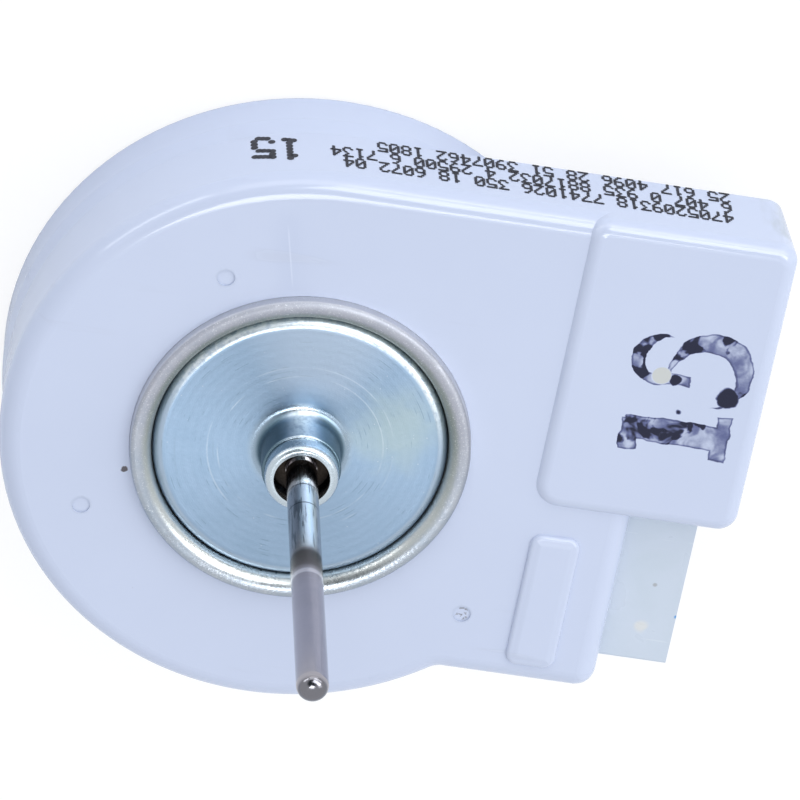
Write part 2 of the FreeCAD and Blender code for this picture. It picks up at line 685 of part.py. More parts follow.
def make_bearing(label, outer, low, length):
    bore = "shaft_radius + bearing_running_gap"
    high = f"{low} + {length}"
    turned(label, ring_profile(bore, outer, low, high),
           soft=((low, outer, "bearing_chamfer", CHAMFER), (high, outer, "bearing_chamfer", CHAMFER)))


def make_bearings():
    felt_bore = "shaft_radius + felt_gap"
    front_seat = "boss_bore - seat_gap"
    make_bearing("front_bearing", front_seat, FRONT_BEARING_LOW, "front_bearing_length")
    turned("front_felt", ring_profile(felt_bore, front_seat, PLATE_UNDER, FRONT_BEARING_LOW))
    turned("bearing_retainer", ring_profile("shaft_radius + retainer_gap", "boss_bore + retainer_width",
                                            RETAINER_UNDER, PLATE_UNDER))
    make_bearing("rear_bearing", "rear_bearing_radius", REAR_BEARING_LOW, "rear_bearing_length")
    turned("rear_felt", ring_profile(felt_bore, "rear_bearing_radius", PAD_TOP, REAR_BEARING_LOW))
    turned("thrust_pad", (("0", "pocket_floor"), ("rear_bearing_radius", "pocket_floor"),
                          ("rear_bearing_radius", PAD_TOP), ("0", PAD_TOP)))


# Stator

def make_stator_core():
    """Ring of laminations with inward teeth, whose shoes leave narrow slots at the bore."""
    body = new_body("stator_core")
    sketch = new_sketch(body, "yoke", offset=CORE_LOW)
    draw_circle(sketch, CORE_RADIUS)
    draw_circle(sketch, YOKE_INNER)
    pad(body, sketch, "core_stack")
    sketch = new_sketch(body, "tooth", offset=CORE_LOW)
    draw_box(sketch, f"{SHOE_RADIUS} - pole_shoe / 2", f"{YOKE_INNER} + yoke_width / 2",
             "-tooth_width / 2", "tooth_width / 2")
    tooth = pad(body, sketch, "core_stack")
    repeat_around(body, tooth, "slot_count")
    sketch = new_sketch(body, "pole_shoes", offset=CORE_LOW)
    draw_circle(sketch, SHOE_RADIUS)
    draw_circle(sketch, STATOR_BORE)
    pad(body, sketch, "core_stack")
    sketch = new_sketch(body, "slot_mouth", offset=CORE_LOW)
    middle = "180 / slot_count"
    half = "slot_opening / 2"
    near = f"{STATOR_BORE} - slot_opening"
    far = f"{SHOE_RADIUS} + slot_opening / 4"
    corners = []
    for along, side in ((near, f"-{half}"), (far, f"-{half}"), (far, half), (near, half)):
        corners.append((f"({along}) * cos({middle}) - ({side}) * sin({middle})",
                        f"({along}) * sin({middle}) + ({side}) * cos({middle})"))
    draw_outline(sketch, corners)
    opening = pocket(body, sketch, "core_stack", up=True)
    repeat_around(body, opening, "slot_count")
    return keep(body, "stator_core")


def make_insulator(label, base, rise, down):
    """Bobbin half on one face of the laminations, whose outer rim stands a height off it."""
    body = new_body(label)
    flange_start = f"{SHOE_RADIUS} + bobbin_setback"
    cover_half = "(tooth_width / 2 + bobbin_side)"
    sketch = new_sketch(body, f"{label}_yoke", offset=base)
    draw_circle(sketch, BOBBIN_RADIUS)
    draw_circle(sketch, YOKE_INNER)
    pad(body, sketch, "bobbin_plate", down)
    sketch = new_sketch(body, f"{label}_rim", offset=base)
    draw_circle(sketch, f"{YOKE_INNER} + bobbin_flange")
    draw_circle(sketch, YOKE_INNER)
    pad(body, sketch, rise, down)
    sketch = new_sketch(body, f"{label}_cover", offset=base)
    draw_box(sketch, flange_start, f"{YOKE_INNER} + bobbin_flange / 2", f"-{cover_half}", cover_half)
    cover = pad(body, sketch, "bobbin_plate", down)
    repeat_around(body, cover, "slot_count")
    sketch = new_sketch(body, f"{label}_flange", offset=base)
    draw_box(sketch, flange_start, f"{flange_start} + bobbin_flange",
             "-bobbin_flange_width / 2", "bobbin_flange_width / 2")
    flange = pad(body, sketch, f"{rise} - bobbin_flange", down)
    repeat_around(body, flange, "slot_count")
    return keep(body, label)


def make_coil(index):
    """Winding around one tooth, between the flanges of the insulators."""
    body = new_body(f"coil_{index + 1}")
    inner_side = "tooth_width / 2 + bobbin_side + coil_gap"
    start = f"{SHOE_RADIUS} + bobbin_setback + bobbin_flange + coil_gap"
    end = f"sqrt({YOKE_INNER} ^ 2 - ({inner_side} + coil_build) ^ 2) - coil_gap"
    low = f"{CORE_LOW} - bobbin_plate - coil_gap"
    high = f"{CORE_HIGH} + bobbin_plate + coil_gap"
    sketch = new_sketch(body, "winding", "YZ_Plane", start)
    draw_box(sketch, f"-({inner_side}) - coil_build", f"{inner_side} + coil_build",
             f"{low} - coil_overhang", f"{high} + coil_overhang")
    pad(body, sketch, f"{end} - ({start})")
    length = value(f"{end} - ({start})")
    soften(body, "coil_round", lambda edge: edge.BoundBox.XLength > 0.9 * length)
    sketch = new_sketch(body, "window", "YZ_Plane", start)
    draw_box(sketch, f"-({inner_side})", inner_side, low, high)
    pocket(body, sketch, f"{end} - ({start})", up=True)
    body.Placement = Placement(Vector(), Rotation(Vector(0, 0, 1), 360 * index / value("slot_count")))
    return keep(body, body.Label)


def make_stator():
    make_stator_core()
    make_insulator("rear_insulator", CORE_LOW, "rear_bobbin", down=True)
    make_insulator("front_insulator", CORE_HIGH, "front_bobbin", down=False)
    for index in range(round(value("slot_count"))):
        make_coil(index)


# Circuit board and what stands on it

def winding_pin_places():
    """Places of the three pins from the windings, as pairs of formulas."""
    orbit = f"({CORE_RADIUS} - winding_pin_edge)"
    return [(f"{orbit} * cos({step} * winding_pin_angle)",
             f"{orbit} * sin({step} * winding_pin_angle)") for step in (-1, 0, 1)]


def make_circuit_board():
    body = new_body("circuit_board")
    sketch = new_sketch(body, "round_part", offset=BOARD_LOW)
    draw_circle(sketch, f"{CHAMBER_RADIUS} - board_edge")
    draw_circle(sketch, BOARD_BORE)
    pad(body, sketch, "board_thickness")
    sketch = new_sketch(body, "tail_part", offset=BOARD_LOW)
    draw_outline(sketch, tail_room_corners("board_gap", BOARD_STEP,
                                           f"{CHAMBER_RADIUS} - tail_room_overlap + board_gap"))
    pad(body, sketch, "board_thickness")
    sketch = new_sketch(body, "pin_holes", offset=BOARD_LOW)
    for across, back in winding_pin_places():
        draw_circle(sketch, "winding_pin_radius + seat_gap", across, back)
    pocket(body, sketch, "board_thickness", up=True)
    return keep(body, "circuit_board")


def make_winding_pins():
    low = f"{CORE_HIGH} + bobbin_plate"
    for index, (across, back) in enumerate(winding_pin_places(), start=1):
        pin = doc.addObject("Part::Cylinder", f"winding_pin_{index}")
        bind(pin, Radius="winding_pin_radius", Height=f"{BOARD_TOP} + winding_pin_proud - ({low})",
             Placement__Base__x=across, Placement__Base__y=back, Placement__Base__z=low)
        keep(pin, pin.Name)


def make_driver_chip():
    across = f"{BOARD_REACH} - chip_edge"
    back = "chip_up"
    body = new_body("driver_chip")
    sketch = new_sketch(body, "package", offset=f"{BOARD_TOP} + lead_thickness / 2")
    draw_box(sketch, f"{across} - chip_width / 2", f"{across} + chip_width / 2",
             f"{back} - chip_length / 2", f"{back} + chip_length / 2")
    pad(body, sketch, "chip_height")
    sketch = new_sketch(body, "lead_pair", offset=BOARD_TOP)
    first = f"{back} - lead_pitch * (lead_count - 1) / 2"
    draw_box(sketch, f"{across} - chip_width / 2 - lead_reach", f"{across} + chip_width / 2 + lead_reach",
             f"{first} - lead_width / 2", f"{first} + lead_width / 2")
    lead = pad(body, sketch, "lead_thickness")
    repeat_along(body, lead, "Y_Axis", "lead_count", "lead_pitch * (lead_count - 1)")
    return keep(body, "driver_chip")


def make_block_part(label, length, width, height, across, back, low):
    """Small rectangular part centred on a place of the board."""
    block = doc.addObject("Part::Box", label)
    bind(block, Length=length, Width=width, Height=height,
         Placement__Base__x=f"{across} - ({length}) / 2",
         Placement__Base__y=f"{back} - ({width}) / 2", Placement__Base__z=low)
    return keep(block, label)


def make_board_parts():
    make_driver_chip()
    make_block_part("filter_capacitor", "capacitor_length", "capacitor_width", "capacitor_height",
                    f"{BLOCK_REACH} - capacitor_left", f"{BOARD_UPPER} - capacitor_edge", BOARD_TOP)
    middle = "(resistor_count - 1) / 2"
    for index in range(round(value("resistor_count"))):
        make_block_part(f"resistor_{index + 1}", "resistor_length", "resistor_width", "resistor_height",
                        f"{SHELL_REAR} - resistor_left",
                        f"{SHELL_MIDDLE} + ({middle} - {index}) * resistor_pitch", BOARD_TOP)
    middle = "180 / slot_count"
    orbit = f"({BOARD_BORE} + sensor_inset)"
    make_block_part("position_sensor", "sensor_size", "sensor_size", "sensor_height",
                    f"{orbit} * cos({middle})", f"{orbit} * sin({middle})", f"{BOARD_LOW} - sensor_height")


# Connector

def make_connector_shell():
    body = new_body("connector_shell")
    sketch = new_sketch(body, "shell_section", "YZ_Plane", SHELL_REAR)
    draw_box(sketch, SHELL_LOWER, SHELL_UPPER, SHELL_LOW, SHELL_HIGH)
    pad(body, sketch, "shell_in + shell_out")
    soften(body, "shell_round", lambda edge: edge.BoundBox.XLength > 1.0)
    sketch = new_sketch(body, "socket", "YZ_Plane", f"{SHELL_REAR} + shell_back")
    draw_box(sketch, f"{SHELL_LOWER} + shell_wall", f"{SHELL_UPPER} - shell_wall",
             f"{SHELL_LOW} + shell_wall", f"{SHELL_HIGH} - shell_wall")
    pocket(body, sketch, "shell_in + shell_out - shell_back", up=True)
    sketch = new_sketch(body, "keyway", "YZ_Plane", "shelf_reach + shell_wall")
    draw_box(sketch, f"{SHELL_MIDDLE} - shell_key_width / 2", f"{SHELL_MIDDLE} + shell_key_width / 2",
             f"{SHELL_LOW} - shell_wall / 2", f"{SHELL_LOW} + shell_wall * 2")
    pocket(body, sketch, "shell_out", up=True)
    sketch = new_sketch(body, "contact_hole", "YZ_Plane", SHELL_REAR)
    half = "contact_width / 2 + seat_gap"
    draw_box(sketch, f"{FIRST_CONTACT} - ({half})", f"{FIRST_CONTACT} + {half}",
             f"{CONTACT_LEVEL} - ({half})", f"{CONTACT_LEVEL} + {half}")
    hole = pocket(body, sketch, "shell_back", up=True)
    repeat_along(body, hole, "Y_Axis", "contact_count", "contact_pitch * (contact_count - 1)")
    return keep(body, "connector_shell")


def make_contacts():
    """Bent square pins from the socket to their soldered feet on the board."""
    tip = f"{SHELL_REACH} - contact_inset"
    foot = f"{BOARD_STEP} - contact_foot"
    low = f"{CONTACT_LEVEL} - contact_width / 2"
    for index in range(round(value("contact_count"))):
        body = new_body(f"contact_pin_{index + 1}")
        sketch = new_sketch(body, "pin_side", "XZ_Plane",
                            f"-({FIRST_CONTACT} + {index} * contact_pitch + contact_width / 2)")
        draw_outline(sketch, (
            (tip, low),
            (tip, f"{low} + contact_width"),
            (f"{CONTACT_BEND} + contact_width", f"{low} + contact_width"),
            (f"{CONTACT_BEND} + contact_width", f"{BOARD_TOP} + contact_width"),
            (foot, f"{BOARD_TOP} + contact_width"),
            (foot, BOARD_TOP),
            (CONTACT_BEND, BOARD_TOP),
            (CONTACT_BEND, low),
        ))
        pad(body, sketch, "contact_width")
        keep(body, body.Label)


# Rotor

def make_rotor():
    tip = f"{FACE} + shaft_rise"
    rear_end = f"{PAD_TOP} + end_play"
    bore = "shaft_radius + seat_gap"
    groove_low = f"{FRONT_BEARING_LOW} + front_bearing_length + oil_groove_gap"
    groove_high = f"{groove_low} + oil_groove_width"
    groove_floor = "shaft_radius - oil_groove_depth"
    turned("shaft", (
        ("0", rear_end),
        ("shaft_radius", rear_end),
        ("shaft_radius", groove_low),
        (groove_floor, groove_low),
        (groove_floor, groove_high),
        ("shaft_radius", groove_high),
        ("shaft_radius", tip),
        ("0", tip),
    ), soft=((rear_end, "shaft_radius", "shaft_rear_round", FILLET),
             (tip, "shaft_radius", "shaft_tip_round", FILLET)))
    turned("rotor_core", (
        (bore, HUB_ROOF),
        (HUB_RECESS, HUB_ROOF),
        (HUB_RECESS, HUB_LOW),
        ("hub_radius", HUB_LOW),
        ("hub_radius", HUB_HIGH),
        (bore, HUB_HIGH),
    ))
    turned("ring_magnet", ring_profile(MAGNET_BORE, MAGNET_RADIUS, MAGNET_LOW, MAGNET_HIGH),
           soft=((MAGNET_LOW, MAGNET_RADIUS, "magnet_chamfer", CHAMFER),
                 (MAGNET_HIGH, MAGNET_RADIUS, "magnet_chamfer", CHAMFER)))
    turned("rear_washer", ring_profile(bore, SPACER_RADIUS, f"{REAR_BEARING_HIGH} + end_play", HUB_ROOF))
    turned("front_spacer", ring_profile(bore, SPACER_RADIUS, HUB_HIGH, f"{RETAINER_UNDER} - end_play"))


def check_document():
    """Stop if any object failed or any sub-part is not a sound solid."""
    doc.recompute()
    for item in doc.Objects:
        if {"Invalid", "Error"} & set(item.State):
            raise RuntimeError(f"{item.Label} failed: {item.State}")
    for item in sub_parts:
        shape = item.Shape
        if shape.isNull() or not shape.isValid() or not shape.Solids:
            raise RuntimeError(f"{item.Label} is not a sound solid")


def export_sub_parts():
    os.makedirs(PARTS_FOLDER, exist_ok=True)
    for item in sub_parts:
        item.Shape.exportStep(os.path.join(PARTS_FOLDER, f"{item.Label}.step"))
        print(f"{item.Label}: {len(item.Shape.Solids)} solid, {item.Shape.Volume:.1f} mm3")


make_housing()
make_bead_ring()
make_bearing_bracket()
make_bearings()
make_stator()
make_circuit_board()
make_winding_pins()
make_board_parts()
make_connector_shell()
make_contacts()
make_rotor()
check_document()
export_sub_parts()
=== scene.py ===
"""Looks, studio and camera of the refrigerator fan motor.

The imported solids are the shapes; this script gives each of them its finish,
prints the inked digits on the walls, and sets the studio and the camera.
Places and widths in a finish and fields that end in _mm are millimetres;
the studio and the camera's distance are in metres.
"""
from __future__ import annotations

import logging
import math
from dataclasses import dataclass, field
from enum import Enum

import bmesh
import bpy
from mathutils import Matrix, Vector
from mathutils.bvhtree import BVHTree


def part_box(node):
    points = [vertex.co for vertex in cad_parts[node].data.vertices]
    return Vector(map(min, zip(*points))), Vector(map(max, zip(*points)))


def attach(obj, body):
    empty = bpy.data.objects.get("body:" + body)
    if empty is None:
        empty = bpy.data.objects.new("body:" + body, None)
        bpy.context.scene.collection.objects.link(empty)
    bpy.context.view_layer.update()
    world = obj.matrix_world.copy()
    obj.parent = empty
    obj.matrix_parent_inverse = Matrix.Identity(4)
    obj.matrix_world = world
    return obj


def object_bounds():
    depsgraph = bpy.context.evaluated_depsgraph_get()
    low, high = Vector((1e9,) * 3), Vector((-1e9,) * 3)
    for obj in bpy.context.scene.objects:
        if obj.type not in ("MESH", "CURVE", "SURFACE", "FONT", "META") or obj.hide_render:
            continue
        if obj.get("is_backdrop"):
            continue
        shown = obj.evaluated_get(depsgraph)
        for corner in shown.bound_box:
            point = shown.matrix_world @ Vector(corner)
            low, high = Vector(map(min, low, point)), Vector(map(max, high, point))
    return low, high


LOG = logging.getLogger("fan_motor")
MM = 0.001
MM_PER_METRE = 1000.0
FACE_MM = 18.5  # height of the drum's front face above the back

Triple = tuple[float, float, float]
Colour = Triple
Direction = Triple
Spot = Triple  # X, Y and radius in millimetres
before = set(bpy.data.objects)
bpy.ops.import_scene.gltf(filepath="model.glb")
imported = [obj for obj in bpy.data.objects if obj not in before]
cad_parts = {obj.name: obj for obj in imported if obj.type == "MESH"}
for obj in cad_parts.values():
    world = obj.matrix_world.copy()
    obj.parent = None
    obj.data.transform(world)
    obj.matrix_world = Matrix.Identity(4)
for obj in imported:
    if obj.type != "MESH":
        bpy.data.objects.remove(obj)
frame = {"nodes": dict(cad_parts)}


# Shader maths


class Wire:
    """A number socket of a shader that takes part in Python arithmetic."""

    def __init__(self, sheet: "Sheet", socket: bpy.types.NodeSocket) -> None:
        """Keep the sheet that holds the node and the socket itself."""
        self.sheet = sheet
        self.socket = socket

    def _math(self, operation: str, *values: "Wire | float") -> "Wire":
        """Result of a Math node with the values as its inputs."""
        inputs = dict(enumerate(values))
        return self.sheet.wire("ShaderNodeMath", {"operation": operation}, inputs)

    def __add__(self, other: "Wire | float") -> "Wire":
        """Sum."""
        return self._math("ADD", self, other)

    def __sub__(self, other: "Wire | float") -> "Wire":
        """Difference."""
        return self._math("SUBTRACT", self, other)

    def __rsub__(self, other: float) -> "Wire":
        """Difference from a plain number."""
        return self._math("SUBTRACT", other, self)

    def __mul__(self, other: "Wire | float") -> "Wire":
        """Product."""
        return self._math("MULTIPLY", self, other)

    def __truediv__(self, other: "Wire | float") -> "Wire":
        """Quotient."""
        return self._math("DIVIDE", self, other)

    __radd__ = __add__
    __rmul__ = __mul__

    def __abs__(self) -> "Wire":
        """Size without its sign."""
        return self._math("ABSOLUTE", self)

    def least(self, other: "Wire | float") -> "Wire":
        """Smaller of the two."""
        return self._math("MINIMUM", self, other)

    def most(self, other: "Wire | float") -> "Wire":
        """Larger of the two."""
        return self._math("MAXIMUM", self, other)

    def root(self) -> "Wire":
        """Square root."""
        return self._math("SQRT", self)

    def sine(self) -> "Wire":
        """Sine of the value in radians."""
        return self._math("SINE", self)

    def reach(self, other: "Wire") -> "Wire":
        """Length of the step with the sides self and other."""
        return (self * self + other * other).root()

    def clamped(self) -> "Wire":
        """Value held between 0 and 1."""
        return self.least(1.0).most(0.0)

    def rise(self, start: float, end: float) -> "Wire":
        """Smooth step from 0 at start to 1 at end; end may be the smaller.

        Args:
            start: Value at which the step leaves 0.
            end: Value at which the step reaches 1.

        Returns:
            The smooth step.
        """
        settings = {"interpolation_type": "SMOOTHSTEP", "clamp": True}
        values = {"Value": self, "From Min": start, "From Max": end}
        if start < end:
            return self.sheet.wire("ShaderNodeMapRange", settings, values)
        values.update({"From Min": end, "From Max": start, "To Min": 1.0, "To Max": 0.0})
        return self.sheet.wire("ShaderNodeMapRange", settings, values)


@dataclass
class Place:
    """A point of the surface in millimetres, as three numbers and a vector."""

    x: Wire
    y: Wire
    z: Wire
    vector: bpy.types.NodeSocket

    def radius(self, x: float = 0.0, y: float = 0.0) -> Wire:
        """Distance from the upright line through x, y."""
        return (self.x - x).reach(self.y - y)


class Sheet:
    """The node tree of one finish."""

    def __init__(self, tree: bpy.types.NodeTree) -> None:
        """Start from an empty tree."""
        self.tree = tree
        self.tree.nodes.clear()

    def node(
        self,
        kind: str,
        settings: dict[str, object] | None = None,
        inputs: dict[str | int, object] | None = None,
    ) -> bpy.types.Node:
        """Add a node, set it, then give its sockets values or links.

        Args:
            kind: The node's type.
            settings: Properties of the node.
            inputs: Values, wires or sockets by socket name or number.

        Returns:
            The new node.
        """
        made = self.tree.nodes.new(kind)
        for name, value in (settings or {}).items():
            setattr(made, name, value)
        for name, value in (inputs or {}).items():
            socket = made.inputs[name]
            source = value.socket if isinstance(value, Wire) else value
            if isinstance(source, bpy.types.NodeSocket):
                self.tree.links.new(source, socket)
            elif isinstance(source, tuple) and socket.type == "RGBA":
                socket.default_value = (*source, 1.0)
            else:
                socket.default_value = source
        return made

    def wire(
        self,
        kind: str,
        settings: dict[str, object] | None = None,
        inputs: dict[str | int, object] | None = None,
        output: str | int = 0,
    ) -> Wire:
        """Add a node as above and return one of its number outputs."""
        return Wire(self, self.node(kind, settings, inputs).outputs[output])

    def place(self) -> Place:
        """Point of the surface in millimetres, in the part's own frame.

        Returns:
            The point's coordinates.
        """
        point = self.node("ShaderNodeTexCoord").outputs["Object"]
        scaled = self.node(
            "ShaderNodeVectorMath",
            {"operation": "SCALE"},
            {0: point, "Scale": MM_PER_METRE},
        ).outputs[0]
        parts = self.node("ShaderNodeSeparateXYZ", None, {0: scaled}).outputs
        return Place(*(Wire(self, part) for part in parts), vector=scaled)

    def noise(
        self,
        place: Place,
        grain_mm: float,
        detail: float = 2.0,
        stretch: Triple = (1.0, 1.0, 1.0),
        warp: float = 0.0,
    ) -> Wire:
        """Noise from 0 to 1 about 0.5.

        Args:
            place: Point of the surface.
            grain_mm: Size of the largest patches.
            detail: Number of finer octaves.
            stretch: How many times shorter the patches are along each axis.
            warp: How far the noise distorts itself.

        Returns:
            The noise.
        """
        vector = self.node(
            "ShaderNodeVectorMath", {"operation": "MULTIPLY"}, {0: place.vector, 1: stretch}
        ).outputs[0]
        values = {"Vector": vector, "Scale": 1.0 / grain_mm, "Detail": detail, "Distortion": warp}
        return self.wire("ShaderNodeTexNoise", None, values, "Fac")

    def flecks(self, place: Place, spacing_mm: float, radius_mm: float) -> Wire:
        """Small round flecks scattered at random.

        Args:
            place: Point of the surface.
            spacing_mm: Mean distance between flecks.
            radius_mm: Size of a fleck.

        Returns:
            1 on a fleck and 0 off it.
        """
        values = {"Vector": place.vector, "Scale": 1.0 / spacing_mm}
        reach = self.wire("ShaderNodeTexVoronoi", None, values, "Distance") * spacing_mm
        return reach.rise(radius_mm, 0.6 * radius_mm)

    def blend(
        self,
        share: Wire,
        first: Colour | bpy.types.NodeSocket,
        second: Colour | bpy.types.NodeSocket,
    ) -> bpy.types.NodeSocket:
        """Mix two colours; the second one shows where the share is 1."""
        inputs = {0: share, 6: first, 7: second}
        return self.node("ShaderNodeMix", {"data_type": "RGBA"}, inputs).outputs[2]

    def coats(
        self,
        colour: Colour | bpy.types.NodeSocket,
        *coats: tuple[Wire, Colour | bpy.types.NodeSocket],
    ) -> bpy.types.NodeSocket:
        """Lay tints over a colour, one on the other.

        Args:
            colour: Colour below.
            coats: Share and tint of each coat, the lowest first.

        Returns:
            The colour with all its coats.
        """
        for share, tint in coats:
            colour = self.blend(share, colour, tint)
        return colour

    def either(self, share: Wire, first: bpy.types.Node, second: bpy.types.Node) -> bpy.types.Node:
        """Mix two shaders; the second one shows where the share is 1."""
        inputs = {0: share, 1: first.outputs[0], 2: second.outputs[0]}
        return self.node("ShaderNodeMixShader", None, inputs)

    def relief(self, height_mm: Wire) -> bpy.types.NodeSocket:
        """Normal bumped by a height in millimetres."""
        return self.node("ShaderNodeBump", None, {"Height": height_mm, "Distance": MM}).outputs[0]


# Shapes drawn by shader maths, in the plane of the front face


@dataclass(frozen=True)
class Bar:
    """A straight stroke of ink, or the panel, as an upright rectangle of the face.

    Args:
        low: Corner with the smaller coordinates.
        high: Corner with the larger coordinates.
    """

    low: tuple[float, float]
    high: tuple[float, float]

    def depth(self, x: Wire, y: Wire) -> Wire:
        """Distance inside the stroke's edge, negative outside."""
        across, along = (
            abs(wire - (low + high) / 2) - (high - low) / 2
            for wire, low, high in zip((x, y), self.low, self.high)
        )
        return 0.0 - across.most(along)


@dataclass(frozen=True)
class Crescent:
    """A swelling stroke of ink, left between two circles.

    Args:
        outer: Centre and radius of the circle that holds the stroke.
        inner: Centre and radius of the circle that cuts it out.
    """

    outer: Spot
    inner: Spot

    def depth(self, x: Wire, y: Wire) -> Wire:
        """Distance inside the stroke's edge, negative outside."""
        outer, inner = (
            (x - across).reach(y - along) - radius for across, along, radius in (self.outer, self.inner)
        )
        return (0.0 - outer).least(inner)


# Finishes


Dress = dict[str, Wire | bpy.types.NodeSocket]


@dataclass(frozen=True)
class Finish:
    """One finish of the part, made once and given to several nodes.

    Args:
        name: Name of the material.
        colour: Main colour, linear.
        roughness: Main roughness.
        metallic: 1 for bare metal.
        fixed: Values of the shader's sockets that are the same all over.
    """

    name: str
    colour: Colour
    roughness: float
    metallic: float = 0.0
    fixed: dict[str, object] = field(default_factory=dict)

    def make(self) -> bpy.types.Material:
        """Build the material, or find it if it was built before.

        Returns:
            The material.
        """
        title = f"{self.name}_finish"
        known = bpy.data.materials.get(title)
        if known is not None:
            return known
        material = bpy.data.materials.new(title)
        material.use_nodes = True
        sheet = Sheet(material.node_tree)
        values = {"Metallic": self.metallic, "Roughness": self.roughness, **self.fixed}
        shader = sheet.node("ShaderNodeBsdfPrincipled", None, values)
        shader.inputs["Base Color"].default_value = (*self.colour, 1.0)
        for socket, source in self.dress(sheet).items():
            wanted = source.socket if isinstance(source, Wire) else source
            sheet.tree.links.new(wanted, shader.inputs[socket])
        sheet.node("ShaderNodeOutputMaterial", None, {"Surface": shader.outputs[0]})
        return material

    def dress(self, sheet: Sheet) -> Dress:
        """Say what varies over the surface.

        Args:
            sheet: The material's node tree.

        Returns:
            Wires and sockets by the shader's socket name.
        """
        return {}


